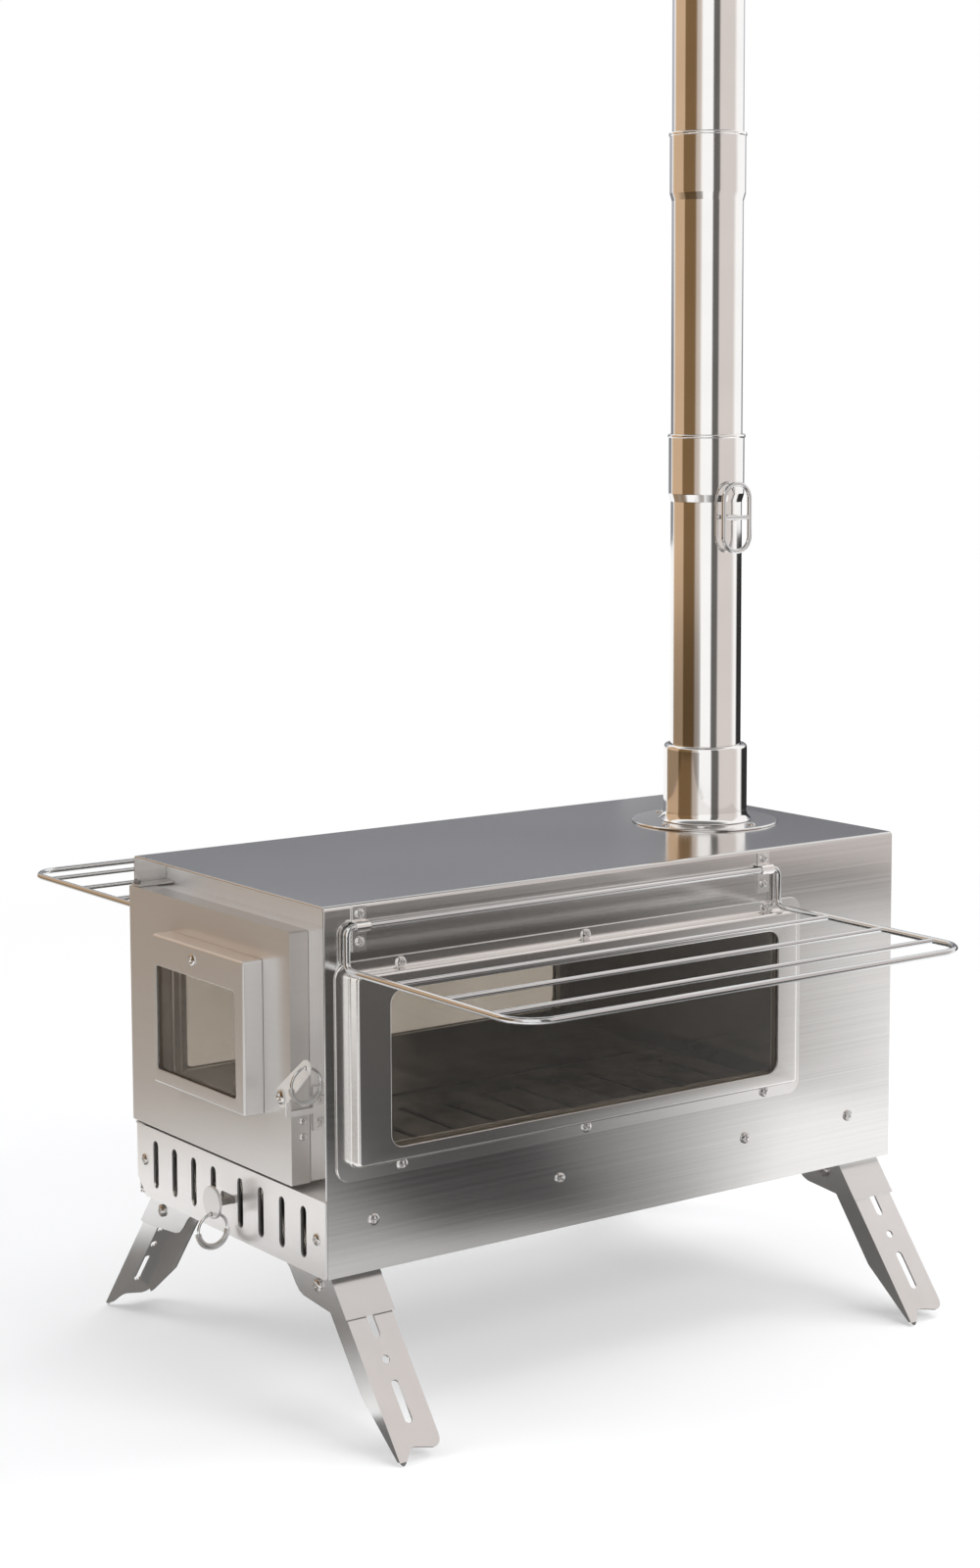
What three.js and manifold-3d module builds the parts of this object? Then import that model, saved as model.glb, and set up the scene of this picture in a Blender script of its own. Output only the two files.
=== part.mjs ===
// Folding tent wood stove: a sheet-steel firebox on four folding legs, with a glazed front door,
// two glazed sides, a sliding air damper, two fold-over wire racks and a sectional chimney.
// Millimetres, +Z up, ground at z = 0. The door faces -Y. Every piece is laid out with y measured
// from the front edge of the firebox, and the whole stove is then centred on its footprint.
import * as THREE from 'three';
import { mergeVertices } from 'three/addons/utils/BufferGeometryUtils.js';
import Module from 'manifold-3d';

const wasm = await Module();
wasm.setup();

// ---------------------------------------------------------------- driving dimensions
const gap = 0.3; // running clearance between neighbouring pieces
const sheet = 1.5; // firebox and bracket sheet
const thin = 1.2; // frames, trims and clips
const bend = 3; // outer radius of a folded edge

// Firebox
const bodyLength = 560;
const bodyWidth = 280;
const bodyHeight = 275;
const groundClearance = 118;

// Front: recessed bulkhead, door, air panel
const recess = 28; // bulkhead behind the firebox front edge
const doorProud = 5;
const doorDepth = 16;
const doorRightInset = 40; // door edge to the right side of the firebox
const doorTopDrop = 23.5; // top plate down to the door
const doorBottomRise = 3.5; // air panel up to the door
const doorMouthMargin = 22;
const panelHeight = 58;
const panelCorner = 14;
const panelReturn = 10;
const doorWindow = { width: 119, height: 82, right: 90.5, drop: 74, corner: 3 };
const doorPan = { width: 136, height: 117, right: 78, drop: 50, proud: 17, corner: 2 };
const doorGlassLap = 2.5; // glass past the window opening
const glassThickness = 4;

// Air slots and their sliding damper
const airSlot = { width: 8, height: 39, pitch: 30, firstX: 20, perSide: 4 };
const guideInset = 3; // slide guides from the edges of the air panel: once below, twice above
const guideLip = 3;
const slideTravel = 15;
const slideStemX = 9;
const stemRadius = 3;
const knobRadius = 12.5;
const knobThickness = 2.5;
const knobStandOff = 16;

// Latch
const latchPivot = { right: 51, rise: 65.5 }; // from the side of the firebox and the door's lower edge
const latchReach = 44; // pivot to ring hole
const latchRise = 40; // degrees above level at rest
const latchHub = 8;
const latchTip = 6;
const latchHole = 1.9;
const keeperArm = 4.5; // depth of the arm that runs forward to the keeper's hook
const keeperHook = 3; // thickness of the hook that stands up in front of the lever

// Ring handles with their coil grips
const ringRadius = 12.8; // middle of the ring wire
const ringWire = 1.1;
const gripWire = 0.4;
const gripPlay = 0.8; // ring wire to the coil wound loosely round it
const gripTurns = 24;
const gripArc = 176; // degrees of the ring that the coil covers

// Door hinge pins, held in lugs above and below the door's left edge
const hingeInset = 4.6; // pin axis to the door's left edge and to its face
const hingePin = 2;
const hingePinReach = 9;
const hingeLugWidth = 12;
const doorSeatGap = 1.3; // door rim to the collar, so that the hinge edge can turn

// Side windows
const sideWindow = { front: 49, length: 375, drop: 65, height: 117, corner: 10 };
const sidePan = { front: 20, length: 425, drop: 51, height: 142, proud: 12, corner: 4 };
const sideFlange = 12; // flange round the pan
const sideGlassLap = 8;
const gasketWidth = 7;

// Grate
const grateHeight = 40; // rail seat above the firebox floor
const grateThickness = 2;
const grateSlot = { width: 7, length: 92, apart: 16, rows: 2, columns: 12 };
const railDepth = 14;

// Racks
const rackWire = 2.5;
const rackRodWire = 2;
const rackDrop = 47; // top plate down to the rack wires
const rackPivotDrop = 16;
const rackReach = 213; // pivot rod to outer rod
const rackFront = 16;
const rackRear = 430;
const rackRods = [60, 120, 175];
const rackBend = 6;
const rackCorner = 26;
const clipWidth = 12;
const clipTop = 2;
const clipBottom = 35;

// Legs
const legSplay = THREE.MathUtils.degToRad(38);
const legPivotInset = 24;
const legPivotDrop = 11;
const legWebOffset = 17; // pivot to the outer face of the web
const legWidth = 39.4;
const legFlange = 18;
const legEye = 8;
const legWebTop = 6; // the web starts this far down the leg from the pivot
const legPin = 3;
const legSlot = { width: 6.4, length: 33 };
const bracketFront = 7;
const bracketFoot = 28; // cheek depth below the firebox
const bracketInner = 75; // cheek length inwards from the side
const bracketHead = 6;

// Chimney
const flueFromFront = 475;
const flangeRadius = 62;
const collarPast = 5.5; // outside of the collar past the outside of the pipe
const collarHeight = 67;
const pipeRadius = 30;
const pipeWall = 1;
const socketDepth = 50;
const socketClearance = 0.8;
const damperSectionLength = 327;
const sectionLength = 300;
const flueDamperHeight = 260;
const flueDamperClearance = 1.5;
const spindleRadius = 2.5;
const damperLoop = { width: 28, height: 56, reach: 9 };
const arrestorHeight = 92;
const arrestorSlots = 16;
const capRadius = 52;
const capRise = 16;
const capSkirt = 5;

// ---------------------------------------------------------------- derived levels
const floorZ = groundClearance;
const topZ = groundClearance + bodyHeight;
const halfWidth = bodyWidth / 2;
const innerHalf = halfWidth - sheet - gap;
const knobFace = -(2 * gap + sheet + knobStandOff);

// ---------------------------------------------------------------- finishes
const finish = (color, roughness, metalness) => ({ color, roughness, metalness });
const brushed = finish(0xa9a6a2, 0.38, 0.9);
const polished = finish(0xc9c6c2, 0.16, 1);
const legSteel = finish(0xcfcdcb, 0.3, 0.9);
const wireSteel = finish(0xbfbfc0, 0.2, 1);
const darkSteel = finish(0x6f6c69, 0.5, 0.8);
const clearGlass = finish(0x2c2a28, 0.08, 0);
const ropeSeal = finish(0xbdb8ad, 0.9, 0);

// ---------------------------------------------------------------- solids
// A closed geometry as a solid. Faces that point inwards are turned round.
function toSolid(geometry) {
  const bare = geometry.clone();
  bare.deleteAttribute('normal');
  bare.deleteAttribute('uv');
  const merged = mergeVertices(bare, 1e-4);
  const at = merged.attributes.position.array;
  const triVerts = new Uint32Array(merged.index.array);
  const corner = (i) => new THREE.Vector3().fromArray(at, 3 * triVerts[i]);
  let volume = 0;
  for (let i = 0; i < triVerts.length; i += 3) {
    volume += corner(i).dot(corner(i + 1).cross(corner(i + 2)));
  }
  if (volume < 0) {
    for (let i = 0; i < triVerts.length; i += 3) {
      [triVerts[i], triVerts[i + 1]] = [triVerts[i + 1], triVerts[i]];
    }
  }
  return new wasm.Manifold(new wasm.Mesh({ numProp: 3, vertProperties: at, triVerts }));
}

function toGeometry(solid) {
  const mesh = solid.getMesh();
  const positions = new Float32Array(mesh.numVert * 3);
  for (let i = 0; i < mesh.numVert; i++) {
    const first = i * mesh.numProp;
    positions.set(mesh.vertProperties.subarray(first, first + 3), i * 3);
  }
  const indexed = new THREE.BufferGeometry();
  indexed.setAttribute('position', new THREE.BufferAttribute(positions, 3));
  indexed.setIndex(new THREE.BufferAttribute(new Uint32Array(mesh.triVerts), 1));
  const flat = indexed.toNonIndexed();
  flat.computeVertexNormals();
  return flat;
}

const join = (...solids) => solids.reduce((all, next) => all.add(next));
const cut = (solid, ...tools) => tools.reduce((left, tool) => left.subtract(tool), solid);

function block(x0, x1, y0, y1, z0, z1) {
  const box = new THREE.BoxGeometry(x1 - x0, y1 - y0, z1 - z0);
  box.translate((x0 + x1) / 2, (y0 + y1) / 2, (z0 + z1) / 2);
  return toSolid(box);
}

// A shape drawn in (first, second) axes and pushed along the third, from one station to another.
const frames = {
  x: new THREE.Matrix4().makeBasis(axis(0, 1, 0), axis(0, 0, 1), axis(1, 0, 0)),
  y: new THREE.Matrix4().makeBasis(axis(1, 0, 0), axis(0, 0, 1), axis(0, -1, 0)),
  z: new THREE.Matrix4(),
};

function axis(x, y, z) {
  return new THREE.Vector3(x, y, z);
}

// An arc of the shape gets twice the stated number of steps.
function push(shape, along, from, to, curveSegments = 3) {
  const depth = to - from;
  const geometry = new THREE.ExtrudeGeometry(shape, { depth, bevelEnabled: false, curveSegments });
  geometry.translate(0, 0, along === 'y' ? -to : from);
  geometry.applyMatrix4(frames[along]);
  return toSolid(geometry);
}

// A straight round bar along x, y or z through (a, b) of the other two axes.
function bar(along, a, b, from, to, radius, sides) {
  return push(disc(a, b, radius), along, from, to, sides / 2);
}

function disc(a, b, radius) {
  return new THREE.Shape().absarc(a, b, radius, 0, 2 * Math.PI);
}

function roundedRect(a0, a1, b0, b1, r) {
  const shape = new THREE.Shape();
  shape.moveTo(a0 + r, b0);
  shape.lineTo(a1 - r, b0);
  shape.absarc(a1 - r, b0 + r, r, -Math.PI / 2, 0);
  shape.lineTo(a1, b1 - r);
  shape.absarc(a1 - r, b1 - r, r, 0, Math.PI / 2);
  shape.lineTo(a0 + r, b1);
  shape.absarc(a0 + r, b1 - r, r, Math.PI / 2, Math.PI);
  shape.lineTo(a0, b0 + r);
  shape.absarc(a0 + r, b0 + r, r, Math.PI, 1.5 * Math.PI);
  return shape;
}

function polygon(points) {
  return new THREE.Shape(points.map(([a, b]) => new THREE.Vector2(a, b)));
}

// A turned piece: (radius, height) points, closed on themselves, about a vertical axis at (x, y).
function turned(profile, x, y, segments = 40) {
  const points = [...profile, profile[0]].map(([r, z]) => new THREE.Vector2(r, z));
  const geometry = new THREE.LatheGeometry(points, segments);
  geometry.rotateX(Math.PI / 2);
  geometry.translate(x, y, 0);
  return toSolid(geometry);
}

// A round wire through a line of points. A loop joins its last ring to its first.
function wireThrough(points, radius, sides, loop = false) {
  const count = points.length;
  const tangent = (i) => {
    const before = loop ? points[(i + count - 1) % count] : points[Math.max(i - 1, 0)];
    const after = loop ? points[(i + 1) % count] : points[Math.min(i + 1, count - 1)];
    return after.clone().sub(before).normalize();
  };
  let along = tangent(0);
  const start = Math.abs(along.z) < 0.9 ? axis(0, 0, 1) : axis(1, 0, 0);
  let side = start.sub(along.clone().multiplyScalar(start.dot(along))).normalize();
  const positions = [];
  points.forEach((point, i) => {
    const next = tangent(i);
    const turn = new THREE.Quaternion().setFromUnitVectors(along, next);
    side.applyQuaternion(turn);
    along = next;
    const across = along.clone().cross(side);
    for (let k = 0; k < sides; k++) {
      const angle = (2 * Math.PI * k) / sides;
      const offset = side.clone().multiplyScalar(radius * Math.cos(angle));
      offset.addScaledVector(across, radius * Math.sin(angle));
      positions.push(...point.clone().add(offset).toArray());
    }
  });
  const index = [];
  const rings = loop ? count : count - 1;
  for (let i = 0; i < rings; i++) {
    for (let k = 0; k < sides; k++) {
      const a = i * sides + k;
      const b = i * sides + ((k + 1) % sides);
      const c = ((i + 1) % count) * sides + k;
      const d = ((i + 1) % count) * sides + ((k + 1) % sides);
      index.push(a, b, c, b, d, c);
    }
  }
  if (!loop) {
    for (let k = 1; k < sides - 1; k++) {
      const last = (count - 1) * sides;
      index.push(0, k + 1, k);
      index.push(last, last + k, last + k + 1);
    }
  }
  const geometry = new THREE.BufferGeometry();
  geometry.setAttribute('position', new THREE.Float32BufferAttribute(positions, 3));
  geometry.setIndex(index);
  return toSolid(geometry);
}

// The corners of a bent wire, with each inner corner rounded to its radius in a few steps.
function bentPath(corners, radii, steps = 5) {
  const points = [corners[0]];
  for (let i = 1; i < corners.length - 1; i++) {
    const into = corners[i - 1].clone().sub(corners[i]).normalize();
    const out = corners[i + 1].clone().sub(corners[i]).normalize();
    const half = into.angleTo(out) / 2;
    const back = radii[i - 1] / Math.tan(half);
    const middle = into.clone().add(out).normalize();
    const centre = corners[i].clone().addScaledVector(middle, radii[i - 1] / Math.sin(half));
    const from = corners[i].clone().addScaledVector(into, back).sub(centre);
    const to = corners[i].clone().addScaledVector(out, back).sub(centre);
    const normal = from.clone().cross(to).normalize();
    const sweep = from.angleTo(to);
    for (let k = 0; k <= steps; k++) {
      points.push(from.clone().applyAxisAngle(normal, (sweep * k) / steps).add(centre));
    }
  }
  points.push(corners[corners.length - 1]);
  return points;
}

// A rectangular sheet pan: a face with four walls folded back from it along y.
function panAlongY(x0, x1, z0, z1, face, back, wall, corner) {
  const outer = push(roundedRect(x0, x1, z0, z1, corner), 'y', face, back, 1);
  const inner = block(x0 + wall, x1 - wall, face + wall, back + 1, z0 + wall, z1 - wall);
  return cut(outer, inner);
}

// ---------------------------------------------------------------- the stove
const stove = new THREE.Group();
stove.name = 'tent_wood_stove';

function add(name, solid, look) {
  const mesh = new THREE.Mesh(toGeometry(solid), new THREE.MeshStandardMaterial(look));
  mesh.name = name;
  stove.add(mesh);
  return solid;
}

// ---------------------------------------------------------------- firebox
const doorLeft = -halfWidth;
const doorRight = halfWidth - doorRightInset;
const doorTop = topZ - doorTopDrop;
const doorBottom = floorZ + panelHeight + doorBottomRise;
const doorRim = doorDepth - doorProud; // back edge of the door's folded walls

function casing() {
  const outer = roundedRect(-halfWidth, halfWidth, floorZ - bend, topZ, bend);
  const body = cut(
    push(outer, 'y', 0, bodyLength, 2),
    block(-halfWidth + sheet, halfWidth - sheet, -1, bodyLength + 1, floorZ - bend - 1, topZ - sheet),
    block(-halfWidth - 1, halfWidth + 1, -1, bodyLength + 1, floorZ - bend - 1, floorZ),
  );
  const front = sidePan.front + sideFlange;
  const rear = sidePan.front + sidePan.length - sideFlange;
  const low = topZ - sidePan.drop - sidePan.height + sideFlange;
  const high = topZ - sidePan.drop - sideFlange;
  const opening = roundedRect(front, rear, low, high, sideWindow.corner);
  const windows = push(opening, 'x', -halfWidth - 1, halfWidth + 1);
  const flue = bar('z', 0, flueFromFront, topZ - sheet - 1, topZ + 1, pipeRadius - pipeWall - gap, 40);
  const doorNotch = block(
    -halfWidth - 1, -halfWidth + sheet + 1, -1, doorRim + doorSeatGap, doorBottom - gap, doorTop + gap,
  );
  return cut(body, windows, flue, doorNotch);
}

function bottomPlate() {
  const plate = block(-innerHalf, innerHalf, gap, bodyLength - gap, floorZ, floorZ + sheet);
  const from = recess + 4;
  const to = bodyLength - 20;
  const wall = (x) => block(x, x + sheet, from, to, floorZ, floorZ + 15);
  return join(plate, wall(-innerHalf), wall(innerHalf - sheet));
}

function backPlate() {
  const back = bodyLength - 2;
  const low = floorZ + sheet + gap;
  const high = topZ - sheet - gap;
  const shell = block(-innerHalf, innerHalf, back - panelReturn, back, low, high);
  const hollow = block(
    -innerHalf + sheet, innerHalf - sheet, back - panelReturn - 1, back - sheet, low - 1, high - sheet,
  );
  return cut(shell, hollow);
}

// The recessed bulkhead carries a collar that the door closes against.
function frontFrame() {
  const low = floorZ + panelHeight + gap;
  const high = topZ - sheet - gap;
  const plate = block(-innerHalf, innerHalf, recess, recess + sheet, low, high);
  const edge = 1;
  const x1 = doorRight - edge;
  const z0 = doorBottom + edge;
  const z1 = doorTop - edge;
  const collar = cut(
    block(-innerHalf, x1, doorRim + doorSeatGap, recess, z0, z1),
    block(-innerHalf + sheet, x1 - sheet, 0, recess + 1, z0 + sheet, z1 - sheet),
  );
  const mouth = block(
    -innerHalf + doorMouthMargin, x1 - doorMouthMargin, recess - 1, recess + sheet + 1,
    z0 + doorMouthMargin, z1 - doorMouthMargin,
  );
  return join(cut(plate, mouth), collar);
}

// ---------------------------------------------------------------- lower air panel and its slide
const slotLow = floorZ + 10;
const slotHigh = slotLow + airSlot.height;
const stemZ = (slotLow + slotHigh) / 2;

function airSlots(y0, y1) {
  const slots = [];
  for (let i = 0; i < airSlot.perSide; i++) {
    for (const side of [-1, 1]) {
      const x = side * (airSlot.firstX + i * airSlot.pitch);
      const half = airSlot.width / 2;
      const outline = roundedRect(x - half, x + half, slotLow, slotHigh, half - 0.01);
      slots.push(push(outline, 'y', y0, y1, 1));
    }
  }
  return slots;
}

function airPanel() {
  const face = -gap - sheet;
  const high = floorZ + panelHeight;
  const outline = polygon([
    [-halfWidth, high],
    [-halfWidth, floorZ + panelCorner],
    [-halfWidth + panelCorner, floorZ],
    [halfWidth - 2, floorZ],
    [halfWidth, floorZ + 2],
    [halfWidth, high],
  ]);
  const plate = push(outline, 'y', face, -gap);
  const ledge = block(-innerHalf, innerHalf, face, recess - gap, high - sheet, high);
  // Each guide rail is an angle whose lip stands behind the slide.
  const lipFront = 2 * gap + thin;
  const rail = (z, lipLow, lipHigh) => join(
    block(-innerHalf, innerHalf, face + sheet / 2, lipFront + thin, z, z + thin),
    block(-innerHalf, innerHalf, lipFront, lipFront + thin, lipLow, lipHigh),
  );
  const half = stemRadius + gap;
  const stemLeft = slideStemX - slideTravel - half;
  const stemSlot = push(
    roundedRect(stemLeft, slideStemX + half, stemZ - half, stemZ + half, half - 0.01),
    'y', face - 1, 1, 2,
  );
  const lowRail = floorZ + guideInset;
  const highRail = high - 2 * guideInset;
  const guides = join(
    rail(lowRail, lowRail, lowRail + thin + guideLip),
    rail(highRail, highRail - guideLip, highRail + thin),
  );
  return cut(join(plate, ledge, guides), stemSlot, ...airSlots(face - 1, 1));
}

function airSlide() {
  const low = floorZ + guideInset + thin + gap;
  const high = floorZ + panelHeight - 2 * guideInset - gap;
  const plate = block(-innerHalf + slideTravel + 1, innerHalf - 1, 0, thin, low, high);
  const stem = bar('y', slideStemX, stemZ, knobFace, thin, stemRadius, 16);
  return join(cut(plate, ...airSlots(-1, thin + 1)), stem);
}

const knobZ = stemZ + 1;
const knobEyeZ = knobZ - knobRadius + 3.6;

function damperKnob() {
  const back = knobFace - gap;
  return cut(
    bar('y', slideStemX, knobZ, back - knobThickness, back, knobRadius, 32),
    bar('y', slideStemX, knobEyeZ, back - knobThickness - 1, back + 1, latchHole, 12),
  );
}

// A ring handle in the plane across the door, hanging from an eye at (x, y, z), with its coil grip.
function ringHandle(x, y, z) {
  const centre = axis(x, y, z - ringRadius);
  const around = (angle, radius, offset) => axis(
    centre.x + offset,
    centre.y + radius * Math.sin(angle),
    centre.z - radius * Math.cos(angle),
  );
  const loop = [];
  for (let i = 0; i < 32; i++) {
    loop.push(around((2 * Math.PI * i) / 32, ringRadius, 0));
  }
  const ring = wireThrough(loop, ringWire, 8, true);
  const stepsPerTurn = 8;
  const coilRadius = ringWire + gripPlay + gripWire;
  const sweep = THREE.MathUtils.degToRad(gripArc);
  const coil = [];
  const steps = gripTurns * stepsPerTurn;
  for (let i = 0; i <= steps; i++) {
    const angle = sweep * (i / steps - 0.5);
    const turn = (2 * Math.PI * i) / stepsPerTurn;
    coil.push(around(angle, ringRadius + coilRadius * Math.cos(turn), coilRadius * Math.sin(turn)));
  }
  // Each end runs straight on for one wire diameter.
  const lead = coil[0].clone().sub(coil[1]).setLength(2 * gripWire).add(coil[0]);
  const tail = coil[steps].clone().sub(coil[steps - 1]).setLength(2 * gripWire).add(coil[steps]);
  const path = [lead, ...coil, tail];
  return { ring, grip: wireThrough(path, gripWire, 5), path, stepsPerTurn };
}

// Least clear gap between neighbouring turns, measured on points along the wire.
function gripGap({ path, stepsPerTurn }) {
  let least = Infinity;
  for (let i = 0; i < path.length; i++) {
    for (let j = i + stepsPerTurn / 2 + 1; j < path.length; j++) {
      least = Math.min(least, path[i].distanceTo(path[j]));
    }
  }
  return least - 2 * gripWire;
}

// ---------------------------------------------------------------- door
const panX1 = halfWidth - doorPan.right;
const panX0 = panX1 - doorPan.width;
const panZ1 = topZ - doorPan.drop;
const panZ0 = panZ1 - doorPan.height;
const viewX1 = halfWidth - doorWindow.right;
const viewX0 = viewX1 - doorWindow.width;
const viewZ1 = topZ - doorWindow.drop;
const viewZ0 = viewZ1 - doorWindow.height;
const panFace = -doorProud - doorPan.proud;
const pivotX = halfWidth - latchPivot.right;
const pivotZ = doorBottom + latchPivot.rise;

function doorPanel() {
  const shell = panAlongY(doorLeft, doorRight, doorBottom, doorTop, -doorProud, doorRim, thin, 1);
  const lip = 5;
  const window = block(panX0 + lip, panX1 - lip, -doorProud - 1, 2, panZ0 + lip, panZ1 - lip);
  const pivot = bar('y', pivotX, pivotZ, -doorProud - 1, 2, stemRadius + 0.1, 16);
  const hinge = bar('z', hingeX, hingeY, doorBottom - 1, doorTop + 1, hingePin + 0.1, 12);
  return cut(shell, window, pivot, hinge);
}

function doorWindowPan() {
  const pan = panAlongY(panX0, panX1, panZ0, panZ1, panFace, -doorProud - gap, thin, doorPan.corner);
  const view = roundedRect(viewX0, viewX1, viewZ0, viewZ1, doorWindow.corner);
  return cut(pan, push(view, 'y', panFace - 1, panFace + thin + 1, 1));
}

function doorGlass() {
  const lap = doorGlassLap;
  const face = panFace + thin + gap;
  return block(viewX0 - lap, viewX1 + lap, face, face + glassThickness, viewZ0 - lap, viewZ1 + lap);
}

// The clamp frame holds the glass against the pan and seats on the door panel.
function doorGlassClamp() {
  const front = panFace + thin + 2 * gap + glassThickness;
  const back = -doorProud - gap;
  const x0 = panX0 + thin + gap;
  const x1 = panX1 - thin - gap;
  const z0 = panZ0 + thin + gap;
  const z1 = panZ1 - thin - gap;
  const flat = cut(
    block(x0, x1, front, front + thin, z0, z1),
    block(viewX0, viewX1, front - 1, front + thin + 1, viewZ0, viewZ1),
  );
  const walls = cut(
    block(x0, x1, front, back, z0, z1),
    block(x0 + thin, x1 - thin, front - 1, back + 1, z0 + thin, z1 - thin),
  );
  return join(flat, walls);
}

// ---------------------------------------------------------------- latch
const rise = THREE.MathUtils.degToRad(latchRise);
const eyeX = pivotX + latchReach * Math.cos(rise);
const eyeZ = pivotZ + latchReach * Math.sin(rise);
const leverBack = -doorProud - gap;
const leverFace = leverBack - thin;

function latchLever() {
  const along = Math.atan2(eyeZ - pivotZ, eyeX - pivotX);
  const lean = Math.acos((latchHub - latchTip) / latchReach);
  const outline = new THREE.Shape();
  outline.absarc(pivotX, pivotZ, latchHub, along + lean, along - lean + 2 * Math.PI);
  outline.absarc(eyeX, eyeZ, latchTip, along - lean, along + lean);
  return cut(
    push(outline, 'y', leverFace, leverBack, 6),
    bar('y', pivotX, pivotZ, leverFace - 1, leverBack + 1, stemRadius + 0.1, 16),
    bar('y', eyeX, eyeZ, leverFace - 1, leverBack + 1, latchHole, 12),
  );
}

function latchPivotScrew() {
  return join(
    bar('y', pivotX, pivotZ, leverFace - gap - 1, 3, stemRadius, 16),
    bar('y', pivotX, pivotZ, leverFace - gap - 2.4, leverFace - gap, 5, 20),
    bar('y', pivotX, pivotZ, -doorProud + thin + gap, 1.5, 5, 6),
  );
}

// A hook fixed to the collar stands forward past the door edge and catches the lowered lever.
function latchKeeper() {
  const x1 = doorRight + 2.2;
  const x0 = x1 - sheet;
  const padFront = doorRim + doorSeatGap + 0.5;
  const padLow = pivotZ - 26;
  const padHigh = pivotZ + 7;
  const notchFloor = pivotZ - latchHub - gap;
  const armLow = notchFloor - keeperArm;
  const hookBack = leverFace - 1;
  const hookFront = hookBack - keeperHook;
  const outline = polygon([
    [hookFront, armLow + 1.5],
    [hookFront + 1.5, armLow],
    [padFront, armLow],
    [padFront, padLow],
    [recess - 4, padLow],
    [recess - 4, padHigh],
    [padFront, padHigh],
    [padFront, notchFloor],
    [hookBack, notchFloor],
    [hookBack, pivotZ - 1],
    [hookFront, pivotZ - 1],
  ]);
  const plate = push(outline, 'x', x0, x1);
  const pad = block(doorRight - 1 + gap, x0 + 0.1, padFront, recess - 4, padLow, padHigh);
  return join(plate, pad);
}

// ---------------------------------------------------------------- door hinges
const hingeX = doorLeft + hingeInset;
const hingeY = -doorProud + hingeInset;

function hingeLug(z, back) {
  const x0 = -innerHalf + gap;
  return cut(
    block(x0, x0 + hingeLugWidth, hingeY - 3.5, back, z, z + sheet),
    bar('z', hingeX, hingeY, z - 1, z + sheet + 1, hingePin + 0.1, 12),
  );
}

// A shank between two levels with a wider head or shoulder part of the way.
function hingePinAt(low, high, headLow, headHigh) {
  return join(
    bar('z', hingeX, hingeY, low, high, hingePin, 12),
    bar('z', hingeX, hingeY, headLow, headHigh, hingePin + 0.8, 12),
  );
}

const upperLugZ = doorTop + gap;
const lowerLugZ = floorZ + panelHeight + gap;

// ---------------------------------------------------------------- side windows
// Built for the right side, then mirrored for the left.
const toLeft = (solid) => solid.mirror([1, 0, 0]);

function sideWindowFrame() {
  const face = halfWidth + gap;
  const front = sidePan.front;
  const rear = front + sidePan.length;
  const high = topZ - sidePan.drop;
  const low = high - sidePan.height;
  const baseTop = high + sideFlange - 3;
  const base = roundedRect(front - sideFlange, rear + sideFlange, low - sideFlange, baseTop, sideFlange);
  const shell = roundedRect(front, rear, low, high, sidePan.corner);
  const view = roundedRect(
    sideWindow.front, sideWindow.front + sideWindow.length,
    topZ - sideWindow.drop - sideWindow.height, topZ - sideWindow.drop, sideWindow.corner,
  );
  const outer = halfWidth + sidePan.proud;
  return cut(
    join(push(base, 'x', face, face + thin, 2), push(shell, 'x', face, outer, 1)),
    block(face - 1, outer - thin, front + thin, rear - thin, low + thin, high - thin),
    push(view, 'x', outer - thin - 1, outer + 1, 2),
  );
}

const sideGlassFace = halfWidth + sidePan.proud - thin - gap;

function sideGlassOutline(lap) {
  return [
    sideWindow.front - lap, sideWindow.front + sideWindow.length + lap,
    topZ - sideWindow.drop - sideWindow.height - lap, topZ - sideWindow.drop + lap,
  ];
}

function sideGlass() {
  const [y0, y1, z0, z1] = sideGlassOutline(sideGlassLap);
  return block(sideGlassFace - glassThickness, sideGlassFace, y0, y1, z0, z1);
}

function sideGasket() {
  const x0 = halfWidth + gap;
  const x1 = sideGlassFace - glassThickness - gap;
  const [y0, y1, z0, z1] = sideGlassOutline(sideGlassLap);
  const w = gasketWidth;
  return cut(block(x0, x1, y0, y1, z0, z1), block(x0 - 1, x1 + 1, y0 + w, y1 - w, z0 + w, z1 - w));
}

// ---------------------------------------------------------------- grate
const railZ = floorZ + grateHeight;

function grateRail() {
  const from = recess + 4;
  const to = bodyLength - 20;
  const wall = innerHalf;
  return join(
    block(wall - thin, wall, from, to, railZ - railDepth, railZ),
    block(wall - railDepth, wall, from, to, railZ - thin, railZ),
  );
}

function fireGrate() {
  const edge = innerHalf - thin - 2;
  const from = recess + 6;
  const to = bodyLength - 24;
  const z0 = railZ + gap;
  const plate = block(-edge, edge, from, to, z0, z0 + grateThickness);
  const lip = block(-edge, edge, from, from + grateThickness, z0, z0 + 8);
  const slots = [];
  const half = grateSlot.width / 2;
  const reach = grateSlot.length / 2;
  for (let row = 0; row < grateSlot.rows; row++) {
    const side = row - (grateSlot.rows - 1) / 2;
    const x = side * (grateSlot.length + grateSlot.apart);
    for (let i = 0; i < grateSlot.columns; i++) {
      const y = from + ((i + 0.75) * (to - from)) / (grateSlot.columns + 0.5);
      const shape = roundedRect(x - reach, x + reach, y - half, y + half, half - 0.01);
      slots.push(push(shape, 'z', z0 - 1, z0 + grateThickness + 1, 1));
    }
  }
  return cut(join(plate, lip), ...slots);
}

// ---------------------------------------------------------------- racks (right side, then mirrored)
const rackX = halfWidth + gap + thin + 0.4 + rackWire;
const rackZ = topZ - rackPivotDrop;

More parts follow.
